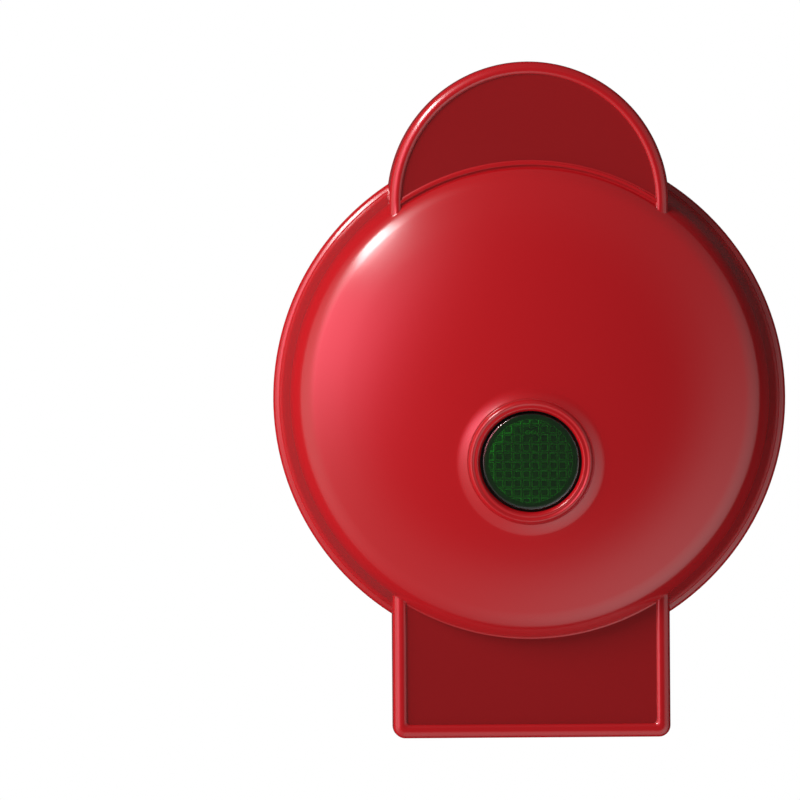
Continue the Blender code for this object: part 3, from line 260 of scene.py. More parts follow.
def material(name, colour, roughness, grain, depth, edge=0.15, **more):
    """A surface with a colour, a fine grain and broken edges, whose sizes are millimetres."""
    made = bpy.data.materials.new(name)
    made.use_nodes = True
    tree = made.node_tree
    shader = tree.nodes["Principled BSDF"]
    shader.inputs["Base Color"].default_value = linear(*colour)
    shader.inputs["Roughness"].default_value = roughness
    for key, value in more.items():
        shader.inputs[key.replace("_", " ")].default_value = value
    place = node(tree, "TexCoord").outputs["Object"]
    noise = node(tree, "TexNoise", None, {"Vector": place, "Scale": 1000 / grain, "Detail": 3.0})
    round_edge = node(tree, "Bevel", {"samples": 6}, {"Radius": edge / 1000}).outputs["Normal"]
    grain_at = {"Height": noise.outputs["Fac"], "Distance": depth / 1000, "Strength": 1.0}
    bump = node(tree, "Bump", None, {**grain_at, "Normal": round_edge})
    tree.links.new(bump.outputs["Normal"], shader.inputs["Normal"])
    return made


# %% Materials
RED = material("polished ABS", (175, 18, 25), 0.17, 2.5, 0.001, IOR=1.53)
# Painted shade: a darker red on the sunk floors stands in for the shade in their recess.
RED_FLOOR_PAINTED_SHADE = material("ABS of the sunk floors, painted shade", (134, 10, 15), 0.27, 0.6, 0.002, IOR=1.53)
COATED = material("non-stick coated cast aluminium", (52, 52, 53), 0.45, 0.5, 0.008, IOR=1.4)
PRISM = material("green polycarbonate prisms", (20, 98, 38), 0.16, 3.0, 0.0005, 0.05, IOR=1.58)
# Painted shade: the lens's skirt is the same green plastic, coloured near black for the shade in the gap
# round the lens.
SKIRT_PAINTED_SHADE = material("green polycarbonate skirt, painted shade", (6, 12, 8), 0.3, 3.0, 0.0005, 0.05, IOR=1.58)
# Painted highlight: the ridges are the prisms' plastic, coloured far lighter to stand in for the light
# they catch.
RIDGE_PAINTED_HIGHLIGHT = material("green ridges, painted highlight", (90, 205, 98), 0.3, 3.0, 0.0005, 0.05, IOR=1.58)
RUBBER = material("moulded rubber", (26, 26, 26), 0.7, 0.3, 0.01, IOR=1.52)
BLACK = material("black nylon", (18, 18, 18), 0.4, 0.5, 0.004, IOR=1.53)
STEEL = material("zinc plated steel", (190, 190, 186), 0.32, 0.3, 0.003, Metallic=1.0)
SHEET = material("aluminised sheet steel", (176, 176, 172), 0.36, 1.2, 0.004, Metallic=1.0)
HEATER = material("oxidised heater tube steel", (118, 112, 104), 0.5, 0.6, 0.006, Metallic=1.0)
CASE = material("nickel plated brass", (190, 178, 150), 0.3, 0.5, 0.002, Metallic=1.0)
CERAMIC = material("steatite ceramic", (226, 222, 208), 0.45, 0.4, 0.006, IOR=1.6)
GLASS = material("lamp glass", (225, 235, 228), 0.03, 4.0, 0.0005, IOR=1.5, Transmission_Weight=0.9)
SLEEVE = material("woven glass-fibre sleeve", (206, 198, 176), 0.8, 0.35, 0.05, IOR=1.5)
LENS = bpy.data.materials.new("clear green polycarbonate")
LENS.use_nodes = True
tree = LENS.node_tree
tree.nodes.clear()
tinted = node(tree, "BsdfTransparent", None, {"Color": (0.62, 0.93, 0.62, 1)})
gloss = node(tree, "BsdfGlossy", None, {"Color": (1, 1, 1, 1), "Roughness": 0.04})
mirrored_share = node(tree, "Fresnel", None, {"IOR": 1.58}).outputs[0]
clear = mix(tree, mirrored_share, tinted, gloss)
node(tree, "OutputMaterial", None, {"Surface": clear.outputs[0]})
print(len(bpy.data.materials), "materials")

# %% [markdown]
# ## Lid
#
# The lid's shell is one moulding about 2.2 mm thick. Its crown is part of a ball, and the lamp's
# ring stands square on that ball, so the same skin can be turned about the lamp first and then
# about the lid's middle, with no seam where a join of two solids would show in the gloss.

# %% Lid shell


def ball_ring(radius, depth, tilt):
    """Circle on the crown's ball about an axis that leans by tilt, in the lid's frame."""
    turned_to = Matrix.Rotation(tilt, 4, "X")
    rise = math.sqrt((CROWN_R - depth) ** 2 - radius**2)
    centre = Vector((0, 0, DOME_RISE - CROWN_R))
    return [centre + turned_to @ Vector((x, y, rise)) for x, y, _ in circle(radius, 0)]


def between(first, second, depth, count):
    """Rings on the crown's ball from one ring to another, both left out."""
    centre = Vector((0, 0, DOME_RISE - CROWN_R))
    rings = []
    for share in spaced(0, 1, count)[1:-1]:
        ring = [a.lerp(b, share) - centre for a, b in zip(first, second)]
        rings.append([centre + v.normalized() * (CROWN_R - depth) for v in ring])
    return rings


def lamp_rings():
    """Moulded ring round the lens: a funnel, a low and a high crest, a groove and a mound."""
    profile = [(LENS_HOLE_R, -1.6), (LENS_HOLE_R, -0.3), (12.68, -0.12), (12.8, 0.02)]
    profile += [(13.12, 0.56), (13.24, 0.68), (13.38, 0.72), (13.6, 0.68), (13.85, 0.61)]
    profile += [(14.0, 0.6), (14.2, 0.66), (14.42, 0.77)]
    profile += [(14.56, 0.81), (14.7, 0.79), (14.85, 0.71), (15.0, 0.58), (15.2, 0.32), (15.34, 0.06)]
    profile += [(15.42, -0.08), (15.49, -0.15), (15.56, -0.14), (15.63, -0.1), (15.7, -0.09)]
    for share in spaced(0, 1, 3 * FINE)[1:]:
        radius = MOUND_R + MOUND_WIDTH * share
        height = (ball_drop(MOUND_R) - 0.1) * (1 - share) ** 1.6
        profile.append((radius, height - ball_drop(radius)))
    to_lid = LID.inverted() @ LAMP
    return [[to_lid @ Vector(v) for v in circle(r, z)] for r, z in profile]


def dome_profile(depth, lowest):
    """Shoulder and wall of the dome at a depth under its outer face, from the crown outwards."""
    centre_r = (CROWN_R - SHOULDER_R) * math.sin(CROWN_SLOPE)
    centre_z = DOME_RISE - CROWN_R + (CROWN_R - SHOULDER_R) * math.cos(CROWN_SLOPE)
    crown = arc(0, DOME_RISE - CROWN_R, CROWN_R - depth, math.asin(CROWN_SEAM_R / CROWN_R), CROWN_SLOPE, 5)
    shoulder = arc(centre_r, centre_z, SHOULDER_R - depth, CROWN_SLOPE, math.pi / 2 - DOME_DRAFT, 3 * FINE)
    foot = FOOT_R - (lowest - FOOT_RISE) * math.tan(DOME_DRAFT) - depth / math.cos(DOME_DRAFT)
    return crown + shoulder[1:] + [(foot, lowest)]


def flange_profile():
    """Rounded flange, with a small fillet to the wall that is tangent to it, down to the parting gap."""
    centre_r, centre_z, both = BODY_R - FLANGE_EDGE, FLANGE - FLANGE_EDGE, FLANGE_EDGE + FLANGE_FILLET
    fillet_r, fillet_z = centre_r + both * math.sin(FLANGE_TILT), centre_z + both * math.cos(FLANGE_TILT)
    start, end = 1.5 * math.pi - DOME_DRAFT, math.pi + FLANGE_TILT
    fillet = arc(fillet_r, fillet_z, FLANGE_FILLET, start, end, 6)
    edge = arc(centre_r, centre_z, FLANGE_EDGE, FLANGE_TILT, math.pi / 2, 12)[1:]
    return fillet + edge + [(BODY_R - 0.1, GAP)]


def seat_profile():
    """Lip round the plate and the ledge behind its edge, from the parting plane into the shell."""
    return [(56.7, GAP), (56.5, GAP + 0.2), (56.5, 4.1), (54.2, 4.1), (54.2, 6.1)]


outside = lamp_rings() + [ball_ring(r, 0, LAMP_TILT) for r in (20.5, 22.5, 25.0)]
rim_of_crown = ball_ring(CROWN_SEAM_R, 0, 0)
outside += between(outside[-1], rim_of_crown, 0, 6)
outside += [circle(r, z) for r, z in dome_profile(0, FOOT_RISE + 0.2) + flange_profile()]
inside = [circle(r, z) for r, z in seat_profile() + dome_profile(WALL, 7.5)[::-1]]
hole_ring = ball_ring(LENS_HOLE_R, WALL, LAMP_TILT)
inside += between(ball_ring(CROWN_SEAM_R - 2, WALL, 0), hole_ring, WALL, 5) + [hole_ring]
lid = skin("lid_cover", outside + inside, LID, "joined")
print("lid shell", len(lid.data.polygons), "faces")

# %% [markdown]
# ### Handle and hood
#
# The two tabs are part of the same moulding. Each has a drafted wall, a rounded rim and a sunk
# floor, is hollow from below, and meets the dome in a small fillet, which shows in the photograph
# as a thin bright line.

# %% Handle and hood of the lid


def handle_outline(half, reach, inset):
    """Front tab seen from above, drawn in by inset, its root under the dome."""
    radius = max(HANDLE_CORNER_R - inset, 1.0)
    side, front = half - inset - radius, inset + radius - reach
    turns = spaced(math.pi, 1.5 * math.pi, 2 * FINE)
    left = [(radius * math.cos(a) - side, front + radius * math.sin(a)) for a in turns]
    right = [(-x, y) for x, y in reversed(left)]
    return [(-side - radius, -TAB_ROOT_Y)] + left + right + [(side + radius, -TAB_ROOT_Y)]


def lid_handle(inset):
    """Outline of the lid's handle."""
    return handle_outline(HANDLE_HALF, HANDLE_REACH, inset)


def base_ledge(inset):
    """Outline of the base's finger ledge."""
    return handle_outline(LEDGE_HALF, LEDGE_REACH, inset)


def hood_outline(inset):
    """Rear tab seen from above: a half circle on straight sides."""
    radius = HOOD_R - inset
    turns = spaced(0, math.pi, 10 * FINE)
    bow = [(radius * math.cos(a), HOOD_Y + radius * math.sin(a)) for a in turns]
    return [(radius, TAB_ROOT_Y)] + bow + [(-radius, TAB_ROOT_Y)]


def middle_of_wall():
    """Solid up to the middle of the lid's wall, which trims what is joined to the outside."""
    crown = [(0.0, DOME_RISE - WALL / 2)] + dome_profile(WALL / 2, FOOT_RISE)
    return turned("middle", crown + [(60.0, 2.0), (60.0, -5.0), (0.0, -5.0)])


def tab(name, outline, top, lean):
    """A hollow tab of the lid: a wall that leans in, a rounded rim and a sunk floor."""
    floor, turns = top - SUNK, spaced(0, math.pi / 2, FINE)
    sections = [(outline(0.0), GAP + 0.2)]
    sections += [(outline(lean + 2.2 * (1 - math.cos(a))), top - 1.7 * (1 - math.sin(a))) for a in turns]
    tray = [(outline(RIM - RIM_BOW * (1 - math.cos(a))), top - SUNK * (1 - math.sin(a))) for a in turns]
    tray += [(outline(RIM - RIM_BOW), top + 5)]
    hollow = [(outline(WALL), -5), (outline(WALL + 0.6), floor - WALL)]
    made = loft(name, sections)
    return carve(made, "DIFFERENCE", loft("tray", tray), loft("hollow", hollow), middle_of_wall())


def cove(name, floor, half, rear):
    """Small fillet where a tab's floor meets the dome's wall."""
    wall = FOOT_R - (floor - FOOT_RISE) * math.tan(DOME_DRAFT)
    turns = spaced(0, math.pi / 2, FINE)
    bow = [(wall + 0.5 - 0.61 * math.cos(a), floor + 0.5 - 0.5 * math.sin(a)) for a in turns]
    back = [(wall + 0.5, floor - 0.5), (wall - 0.8, floor - 0.5), (wall - 0.8, floor + 0.5)]
    ring = turned(name, bow + back)
    low, high = ((-half, 0, 0), (half, 90, 40)) if rear else ((-half, -90, 0), (half, 0, 40))
    return carve(ring, "INTERSECT", box("span", low, high))


tabs = [tab("handle", lid_handle, HANDLE_TOP, 0.3), tab("hood", hood_outline, HOOD_TOP, 0.65)]
carve(lid, "UNION", *tabs)
handle_cove = cove("handle_cove", HANDLE_TOP - SUNK, 32.6, False)
hood_cove = cove("hood_cove", HOOD_TOP - SUNK, 33.0, True)
carve(lid, "UNION", handle_cove, hood_cove)
print("lid with its tabs", len(lid.data.polygons), "faces")

# %% [markdown]
# ### Room for the hinge
#
# The hinge barrels of the two plates turn in a passage under the hood, and the plate's hinge tab
# and its necks leave the shell through notches.

# %% Room for the hinge


def barrel(name, half, change):
    """Solid about the hinge axis, drawn in at its ends to run inside the round hood."""
    side = []
    for x in (half, (half + 22) / 2, 22.0):
        room = HOOD_Y - HINGE_Y + math.sqrt((HOOD_R - WALL - 0.6) ** 2 - x**2)
        side.append((min(9.6, room - 0.9) + change, x))
    profile = [(0.0, half)] + side + [(r, -x) for r, x in reversed(side)] + [(0.0, -half)]
    return turned(name, profile, LID @ HINGE @ ACROSS, ROUND // 2)


def notches(side, depth):
    """Room for the hinge tab, its necks and the lead, up in the lid or down in the base."""
    spans = [(23.4, HINGE_Y, depth), (26.3, 54.5, 4.1), (2.6, 59.0, 8.9)]
    rooms = []
    for half, rear, deep in spans:
        low, high = sorted((-side * 5.0, side * deep))
        rooms.append(box("notch", (-half, 45.0, low), (half, rear, high)))
    return rooms


carve(lid, "DIFFERENCE", barrel("passage", 28.4, 0.5), *notches(1, 7.8))
lid.data.materials.append(RED)
lid.data.materials.append(RED_FLOOR_PAINTED_SHADE)
# The faces of the sunk floors get the darker red of painted shade.
for face in lid.data.polygons:
    x, y, z = [1000 * c for c in face.center]
    sunk = abs(z - PARTING - (HANDLE_TOP if y < 0 else HOOD_TOP) + SUNK) < 0.02 and face.normal.z > 0.99
    face.material_index = 1 if sunk and math.hypot(x, y) > 59 else 0
finished(lid, RED, "lid", ["upper_cover"])

# %% [markdown]
# ## Lamp window
#
# A clear green polycarbonate lens with a slightly domed, polished face and a dark gap round it,
# where its skirt is coloured near black as painted shade.
# Under it sits a plate of ridges in a square grid with a plain margin, which spreads the lamp's
# light. The ridges' slopes are coloured a far lighter green than the plate, a painted highlight
# that shows as bright double lines, and a small twin pip marks the moulding's gate.

# %% Lamp window
LENS_R, LENS_WALL_R = 12.05, 11.7
GRID_R, PRISM_R, PRISM_TOP, PRISM_BACK = 10.3, 11.6, -1.9, -2.3
RIDGE_PITCH, RIDGE_RISE, RIDGE_HALF, RIDGE_SLOPE = 2.24, 0.45, 0.42, 0.3
front = [(LENS_R * s, 0.9 - 0.7 * s**2) for s in spaced(0, 0.96, 2 * FINE)]
edge = [(11.8, 0.18), (11.95, 0.07), (LENS_R, -0.1), (12.1, -0.4), (12.1, -1.2)]
wall = [(12.1, -3.1), (14.0, -3.1), (14.0, -4.1), (LENS_WALL_R, -4.1), (LENS_WALL_R, -1.0), (0.0, -1.0)]
lens = turned("lens", front + edge + wall, LAMP)
lens.data.materials.append(LENS)
lens.data.materials.append(SKIRT_PAINTED_SHADE)
# The skirt's faces, outside the lens's wall and below its face, get the near black of painted shade.
for side in lens.data.polygons:
    x, y, z = LAMP.inverted() @ (side.center * 1000)
    side.material_index = 1 if math.hypot(x, y) > LENS_WALL_R + 0.05 and z < 0.0 else 0
finished(lens, LENS, "lid", ["indicator_lens"])


def ridge(across):
    """Height of the grid at a place across its lines: a flat-topped ridge at each pitch."""
    off = abs((across / RIDGE_PITCH + 0.5) % 1 - 0.5) * RIDGE_PITCH
    return RIDGE_RISE * min(1.0, max(0.0, (RIDGE_HALF - off) / RIDGE_SLOPE))


def relief(x, y):
    """Height of the prism plate: two sets of ridges in a plain margin, and a twin pip near the rear."""
    if math.hypot(x, y) > GRID_R:
        return 0.2
    if math.hypot(x / 1.7, (y - 7.0) / 1.2) < 1:
        return 0.8 * max(0.0, 1 - math.hypot((abs(x) - 0.7) / 0.65, (y - 7.1) / 0.55))
    return max(ridge(x), ridge(y))


def prism_plate(radius, step):
    """Disc of ridges in a square grid, closed below."""
    count = int(radius / step)
    cells = [(i, j) for i in range(-count, count) for j in range(-count, count)]
    cells = [(i, j) for i, j in cells if math.hypot(i + 0.5, j + 0.5) * step < radius]
    top, verts, faces = {}, [], []
    for i, j in cells:
        for corner in ((i, j), (i + 1, j), (i + 1, j + 1), (i, j + 1)):
            if corner not in top:
                x, y = corner[0] * step, corner[1] * step
                top[corner] = len(verts)
                verts += [(x, y, PRISM_TOP + relief(x, y)), (x, y, PRISM_BACK)]
    for i, j in cells:
        ring = [top[c] for c in ((i, j), (i + 1, j), (i + 1, j + 1), (i, j + 1))]
        faces += [tuple(ring), tuple(v + 1 for v in reversed(ring))]
        sides = zip(ring, ring[1:] + ring[:1])
        neighbours = ((i, j - 1), (i + 1, j), (i, j + 1), (i - 1, j))
        for (a, b), near in zip(sides, neighbours):
            if math.hypot(near[0] + 0.5, near[1] + 0.5) * step >= radius:
                faces.append((a, a + 1, b + 1, b))
    return solid("lens_prisms", verts, faces, LAMP)


prisms = prism_plate(PRISM_R, 0.14)
prisms.data.materials.append(PRISM)
prisms.data.materials.append(RIDGE_PAINTED_HIGHLIGHT)
# The sloping faces of the ridges and the pip get the lighter green of painted highlight.
for face in prisms.data.polygons:
    face.material_index = 1 if 0.1 < face.normal.dot(LAMP.col[2].xyz) < 0.93 else 0
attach(prisms, "lid")
print("lens", len(lens.data.polygons), "faces, prisms", len(prisms.data.polygons))

# %% [markdown]
# ## Cooking plates
#
# Each plate is cast in aluminium and coated. Both are the same casting: the second is the first
# turned over, so that the pins of one lie in the claws of the other. The pan is flat, with two
# fine grooves round it that keep the batter in.

# %% Cooking plates


def rod(name, radius, start, end, at, count=48):
    """A cylinder along local Z."""
    return turned(name, [(0.0, end), (radius, end), (radius, start), (0.0, start)], at, count)


def sector(name, inner_r, outer_r, middle, half, start, end, at):
    """Part of a ring about the hinge axis, from one place across the hinge to another."""
    turns = spaced(math.radians(middle - half), math.radians(middle + half), 10)
    outline = [(-outer_r * math.sin(a), outer_r * math.cos(a)) for a in turns]
    outline += [(-inner_r * math.sin(a), inner_r * math.cos(a)) for a in reversed(turns)]
    return prism(name, outline, start, end, at @ HINGE @ ACROSS)


BOSS_TURNS = [math.radians(a) for a in (90, 210, 330)]
BOSS_PLACES = [(BOSS_RING_R * math.cos(a), BOSS_RING_R * math.sin(a)) for a in BOSS_TURNS]


def plate(name, at, body, node_name):
    """A cooking plate, face up in its own frame."""
    root_r, neck_root, pin_end, claw_start, claw_end = 53.3, 48.9, 25.7, 18.6, 22.8
    pan = [(0.0, -5.7), (43.6, -5.7)]
    pan += [(43.6 + 1.6 * math.sin(a), -4.1 - 1.6 * math.cos(a)) for a in spaced(0.1, 1.3, FINE)]
    pan += [(46.85, -1.25), (46.95, -0.98), (47.1, -0.8), (47.35, -0.71), (47.6, -0.7)]
    grooves = [(49.3, -0.7), (49.42, -0.8), (49.62, -1.26), (49.78, -1.26), (49.95, -0.42)]
    grooves += [(50.1, -0.24), (50.3, -0.2), (52.2, -0.2), (52.4, -0.3), (52.62, -1.24)]
    grooves += [(52.78, -1.26), (52.95, -1.0), (53.1, -0.91), (root_r, -0.9)]
    rim = arc(55.6, -1.3, 0.4, 0.0, math.pi / 2, 4)
    rim += [(56.0, -3.6), (55.8, -3.8), (50.0, -3.8), (49.0, -8.7), (0.0, -8.7)]
    made = turned(name, pan + grooves + rim, at)
    axis = at @ HINGE @ ACROSS
    left, right = math.pi - math.acos(pin_end / root_r), math.acos(claw_end / root_r)
    root = [(root_r * math.cos(a), root_r * math.sin(a)) for a in spaced(right, left, 24)]
    parts = [
        prism("tab", root + [(-pin_end, 53.9), (claw_end, 53.9)], -3.8, -0.9, at),
        rod("barrel", 5.1, -18.3, -2.45, axis, 64),
        box("web", (-14.0, neck_root, -5.2), (-2.45, HINGE_Y, -2.9), at),
        sector("stop", PIN_R, 6.75, 20, 17, -18.3, -14.5, at),
        rod("pin", PIN_R, -pin_end, -14.0, axis),
        rod("claw", 6.7, claw_start, claw_end, axis, 64),
        sector("rear_bar", 5.6, 7.4, 35, 22, 15.2, 20.7, at),
        sector("front_bar", 5.6, 7.0, 200, 20, 15.2, 20.7, at),
        box("neck", (claw_start, neck_root, -5.2), (22.5, HINGE_Y - PIN_R, -2.5), at),
    ]
    carve(made, "UNION", *parts)
    carve(made, "DIFFERENCE", rod("pin_hole", PIN_R + PIN_CLEARANCE, 13.6, 27.8, axis))
    bosses = [(0.0, 0.0, 4.3, 15.4)]
    bosses += [(x, y, 4.0, 18.2) for x, y in BOSS_PLACES]
    for x, y, radius, end in bosses:
        spot = at @ Matrix.Translation((x, y, 0))
        carve(made, "UNION", rod("boss", radius, -end, -7.9, spot))
        carve(made, "DIFFERENCE", rod("bore", 1.8, -end - 5, -11.0, spot, 24))
    finished(made, COATED, body, [node_name])


plate("plate_lower", LID, "base", "lower_plate")
plate("plate_upper", FLIPPED, "lid", "upper_plate")

# %% [markdown]
# ## Base
#
# The base is the second ABS moulding: a bowl with a ledge for the fingers under the handle, a
# trough round the hinge, three screw pillars, four recesses for the feet and the cord's boss.

# %% Base
FLOOR = BOTTOM - PARTING


def bowl_profile(depth, highest):
    """Wall, corner and floor of the bowl at a depth inside its outer face."""
    centre_z = FLOOR + BOWL_CORNER
    tangent_z = centre_z - BOWL_CORNER * math.sin(BOWL_DRAFT)
    centre_r = FOOT_R + (tangent_z + FOOT_RISE) * math.tan(BOWL_DRAFT) - BOWL_CORNER * math.cos(BOWL_DRAFT)
    corner = arc(centre_r, centre_z, BOWL_CORNER - depth, math.pi / 2 + BOWL_DRAFT, math.pi)
    rise = highest - corner[0][1]
    return [(corner[0][0] + rise * math.tan(BOWL_DRAFT), highest)] + corner + [(0.0, corner[-1][1])]


def middle_of_bowl():
    """Solid up to the middle of the bowl's wall, which trims what is joined to the outside."""
    wall = bowl_profile(WALL / 2, -FOOT_RISE)[::-1]
    return turned("middle", wall + [(60.0, -2.0), (60.0, 5.0), (0.0, 5.0)])


def finger_ledge():
    """Ledge under the handle, hollow from below, with a rounded lower edge."""
    turns = spaced(math.pi / 2, 0, FINE)
    lower = [(base_ledge(1.4 + 1.5 * (1 - math.cos(a))), -14.5 + 1.5 * (1 - math.sin(a))) for a in turns]
    upper = [(base_ledge(0.0), -1.5), (base_ledge(0.3), -0.8), (base_ledge(1.0), -0.5)]
    hollow = loft("ledge_hollow", [(base_ledge(3.6), -19.5), (base_ledge(3.6), -2.7)])
    return carve(loft("ledge", lower + upper), "DIFFERENCE", hollow, middle_of_bowl())


bowl = bowl_profile(0, -FOOT_RISE - 0.2)[::-1] + [(r, -z) for r, z in flange_profile()]
bowl += [(r, -z) for r, z in seat_profile()] + bowl_profile(WALL, -7.5)
base = turned("base_cover", bowl)
trough = barrel("trough", 27.9, 0.0)
carve(trough, "DIFFERENCE", box("lid_side", (-64, 0, -0.3), (64, 120, 20)), middle_of_bowl())
carve(base, "UNION", finger_ledge(), trough)
carve(base, "DIFFERENCE", barrel("trough_room", 26.3, -1.6), *notches(-1, 6.4))
for x, y in BOSS_PLACES:
    spot = LID @ Matrix.Translation((x, y, 0))
    carve(base, "UNION", rod("pillar", 5.0, FLOOR + 1.1, -19.6, spot))
    counterbore = rod("counterbore", 3.7, FLOOR - 5, FLOOR + 6.5, spot)
    carve(base, "DIFFERENCE", counterbore, rod("hole", 1.9, FLOOR + 1.5, -10, spot, 24))
feet = {"front_left": (-22, -37), "front_right": (22, -37), "rear_left": (-22, 37), "rear_right": (22, 37)}
for x, y in feet.values():
    spot = LID @ Matrix.Translation((x, y, 0))
    carve(base, "DIFFERENCE", rod("recess", 5.3, FLOOR - 5, FLOOR + 1.0, spot))
CORD = LID @ Matrix.Translation((24, 0, -24.5)) @ Matrix.Rotation(math.pi / 2, 4, "X")
carve(base, "UNION", rod("boss", 6.2, -54.6, -42.0, CORD, 64))
carve(base, "DIFFERENCE", rod("boss_hole", 4.7, -60, -37, CORD))
finished(base, RED, "base", ["lower_cover"])

# %% [markdown]
# ## Small parts
#
# Four rubber feet with a soft edge and a dimple, the cord's bush with a collar, three pan-head
# screws with a cross recess, and the sleeved lead that runs round the hinge.

# %% Small parts
for name, (x, y) in feet.items():
    profile = [(0.0, 4.2), (5.0, 4.2), (5.0, 0.8)] + arc(4.2, 0.8, 0.8, math.pi / 2, math.pi, FINE)[1:]
    profile += [(2.6, 0.0), (2.3, 0.15), (0.0, 0.2)]
    foot = turned("rubber_foot_" + name, profile, Matrix.Translation((x, y, 0)), 48)
    finished(foot, RUBBER, "base", ["foot_" + name])

bush = [(3.2, -41.7), (4.4, -41.7), (4.4, -54.9), (5.5, -54.9), (5.8, -55.2), (5.8, -56.0)]
bush += arc(5.3, -56.0, 0.5, math.pi / 2, math.pi, 4)[1:] + [(3.9, -56.5), (3.5, -56.35), (3.2, -56.0)]
finished(turned("cord_bush", bush, CORD, 64), BLACK, "base", ["cord_gland"])


def screw(name, at, seat, end, body, node_name):
    """Pan-head screw with a cross recess; its head bears upwards at seat."""
    shank = [(0.0, end), (1.1, end), (1.5, end - 0.5), (1.5, seat)]
    head = [(3.2, seat), (3.2, seat - 0.9)] + arc(2.2, seat - 0.9, 1.0, math.pi / 2, math.pi, 5)[1:]
    made = turned(name, shank + head + [(0.0, seat - 1.9)], at, 32)
    for turn in (0, math.pi / 2):
        slot_at = at @ Matrix.Rotation(turn, 4, "Z")
        carve(made, "DIFFERENCE", box("cross", (-1.7, -0.35, seat - 3), (1.7, 0.35, seat - 0.9), slot_at))
    finished(made, STEEL, body, [node_name])


for number, (x, y) in enumerate(BOSS_PLACES, 1):
    spot = LID @ Matrix.Translation((x, y, 0))
    screw("screw_base_%d" % number, spot, FLOOR + 6.2, -11.7, "base", "base_screw_%d" % number)


def smooth(values, share):
    """Value between the middle two of four on a curve that also heeds the outer two."""
    before, start, end, after = values
    into, out = (end - before) / 2, (after - start) / 2
    curve = (3 * (end - start) - 2 * into - out) * share**2
    return start + into * share + curve + (into + out - 2 * (end - start)) * share**3


route = [(46.0, -11.3), (53.0, -9.9), (58.6, -5.2), (62.6, 0.0), (58.6, 5.2), (53.0, 9.9), (46.0, 11.3)]
padded = [route[0]] + route + [route[-1]]
line = []
for four in zip(padded, padded[1:], padded[2:], padded[3:]):
    for share in spaced(0, 1, 12)[:-1]:
        line.append(Vector((0, smooth([p[0] for p in four], share), smooth([p[1] for p in four], share))))
line.append(Vector((0, *route[-1])))
rings = []
for before, here, after in zip([line[0]] + line, line, line[1:] + [line[-1]]):
    along = (after - before).normalized()
    across = Vector((1, 0, 0))
    up = along.cross(across)
    rings.append([here + x * across + y * up for x, y, _ in circle(LEAD_R, 0, 24)])
lead = skin("sleeved_lead", rings, LID)
lead.data.materials.append(SLEEVE)
lead.data.shade_smooth()
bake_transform(lead)
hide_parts("hinge_lead")

# %% [markdown]
# ## Parts inside
#
# The heaters, their clamps and reflectors, the sensors, the terminals and the lamp lie inside the
# closed covers. The frame's own shapes stay, and get the metal, ceramic, nylon or glass that each
# is made of.

# %% Parts inside
KINDS = {
    "heater_clamp": SHEET, "clamp_screw": STEEL, "reflector_screw": STEEL, "reflector": SHEET,
    "heater": HEATER, "terminal_block": BLACK, "terminal": CERAMIC, "bracket": SHEET,
    "thermostat": CASE, "fuse_clip": SHEET, "fuse": CASE, "lamp_holder": BLACK,
    "indicator_lamp": GLASS,
}
for name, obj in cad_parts.items():
    if not obj.hide_render:
        kind = next(k for k in KINDS if k in name)
        obj.data.materials.clear()
        obj.data.materials.append(KINDS[kind])
        print(name, "is", KINDS[kind].name)

# %% [markdown]
# ## Studio
#
# The photograph is a cut-out on white, seen from straight above with a long lens and rolled by a
# fraction of a degree. One tall box of light at the upper left gives the white glint on the
# shoulder. The rest is a light tent, as for product shots: bright low at the left, weaker at the
# lower right, dim overhead. What the tent gives to matt and to glossy rays is set apart, since the
# photograph shows a strong shading from the left under soft and rather faint reflections. A red
# card high at the left gives the glow on the shoulder, which is far redder than a white light's.

# %% Studio


def toward(turn, height):
    """Direction from a turn counted from +X to +Y and a height above the horizon, in degrees."""
    turn, height = math.radians(turn), math.radians(height)
    return Vector((math.cos(height) * math.cos(turn), math.cos(height) * math.sin(turn), math.sin(height)))


def tent(tree, base, *lobes, brink=None):
    """Light of the tent: a base and soft bright regions, with direction, tightness and strength.

    With a brink, two heights of the sky's unit ball, the regions and half of what lies under them
    fade out there towards the open top.
    """
    place = node(tree, "TexCoord").outputs["Generated"]
    total = base
    for turn, height, power, strength in lobes:
        along = node(tree, "VectorMath", {"operation": "DOT_PRODUCT"}, {0: place, 1: toward(turn, height)})
        front = node(tree, "Math", {"operation": "MAXIMUM"}, {0: along.outputs["Value"], 1: 0.0})
        shaped = node(tree, "Math", {"operation": "POWER"}, {0: front.outputs[0], 1: power})
        terms = {0: shaped.outputs[0], 1: strength, 2: total}
        total = node(tree, "Math", {"operation": "MULTIPLY_ADD"}, terms).outputs[0]
    if brink:
        rise = node(tree, "SeparateXYZ", None, {0: place}).outputs["Z"]
        cloth = node(tree, "MapRange", None, {0: rise, 1: brink[0], 2: brink[1], 3: 1.0, 4: 0.0})
        total = node(tree, "Math", {"operation": "MULTIPLY"}, {0: total, 1: cloth.outputs[0]}).outputs[0]
        total = node(tree, "Math", {"operation": "ADD"}, {0: total, 1: base}).outputs[0]
    return total


world = bpy.data.worlds.new("studio")
bpy.context.scene.world = world
world.use_nodes = True
tree = world.node_tree
tree.nodes.clear()
path = node(tree, "LightPath")
shading = tent(tree, 0.08, (182, 8, 4, 3.65), (285, 8, 4, 1.95))
regions = [(182, 24, 5, 1.1), (305, 30, 4, 1.5), (0, 20, 6, 0.6), (136, 35, 40, 4.5)]
mirrored = tent(tree, 0.12, *regions, brink=(0.83, 0.9))
blush = tent(tree, 0.0, (160, 50, 24, 8.5), brink=(0.86, 0.98))
tent_light = node(tree, "Background", None, {"Color": (1, 0.97, 0.97, 1), "Strength": mirrored})
red_card = node(tree, "Background", None, {"Color": (1, 0.2, 0.3, 1), "Strength": blush})
for_matt = node(tree, "Background", None, {"Color": (1, 1, 1, 1), "Strength": shading})
for_gloss = node(tree, "AddShader", None, {0: tent_light.outputs[0], 1: red_card.outputs[0]})
white = node(tree, "Background", None, {"Color": (1, 1, 1, 1), "Strength": 1.0})
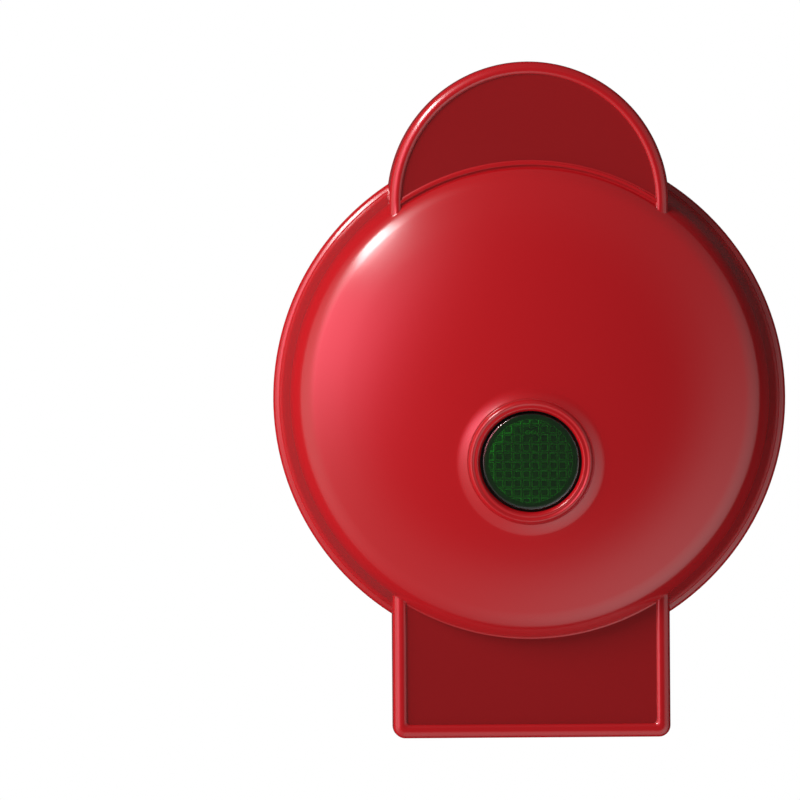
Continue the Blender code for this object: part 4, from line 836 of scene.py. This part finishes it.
seen = mix(tree, path.outputs["Is Glossy Ray"], for_matt, for_gloss)
seen = mix(tree, path.outputs["Is Camera Ray"], seen, white)
node(tree, "OutputWorld", None, {"Surface": seen.outputs[0]})

corners = [(-3000, -3000, 0), (3000, -3000, 0), (3000, 3000, 0), (-3000, 3000, 0)]
floor = solid("floor", corners, [(0, 1, 2, 3)], Matrix())
paper = bpy.data.materials.new("white paper")
paper.use_nodes = True
tree = paper.node_tree
tree.nodes.clear()
path = node(tree, "LightPath")
matt = node(tree, "BsdfDiffuse", None, {"Color": linear(170, 170, 170)})
glow = node(tree, "Emission", None, {"Color": (1, 1, 1, 1), "Strength": 1.0})
dim = node(tree, "BsdfDiffuse", None, {"Color": linear(66, 64, 64)})
mixed = mix(tree, path.outputs["Is Glossy Ray"], matt, dim)
mixed = mix(tree, path.outputs["Is Camera Ray"], mixed, glow)
node(tree, "OutputMaterial", None, {"Surface": mixed.outputs[0]})
floor.data.materials.append(paper)


def softbox(name, turn, height, away, wide, tall, watts):
    """A box of light that faces the machine, with its distance and its sides in metres."""
    made = bpy.data.lights.new(name, "AREA")
    made.shape = "RECTANGLE"
    made.size, made.size_y, made.energy = wide, tall, watts
    obj = bpy.data.objects.new(name, made)
    bpy.context.scene.collection.objects.link(obj)
    obj.location = toward(turn, height) * away + Vector((0, 0, 0.05))
    obj.rotation_euler = toward(turn, height).to_track_quat("Z", "Y").to_euler()
    obj.visible_camera = False


softbox("key", 134, 36, 1.0, 0.16, 0.52, 6.9)

camera = bpy.data.objects.new("camera", bpy.data.cameras.new("camera"))
bpy.context.scene.collection.objects.link(camera)
bpy.context.scene.camera = camera
camera_away, field_width, sensor_width = 3.0, 0.2, 36.0
camera.location = (-0.0323, -0.0004, PARTING * 0.001 + camera_away)
camera.rotation_euler = (0, 0, math.radians(-0.4))
camera.data.sensor_width = sensor_width
camera.data.lens = sensor_width * camera_away / field_width
camera.data.clip_end = 20.0
bpy.context.scene.view_settings.view_transform = "Standard"
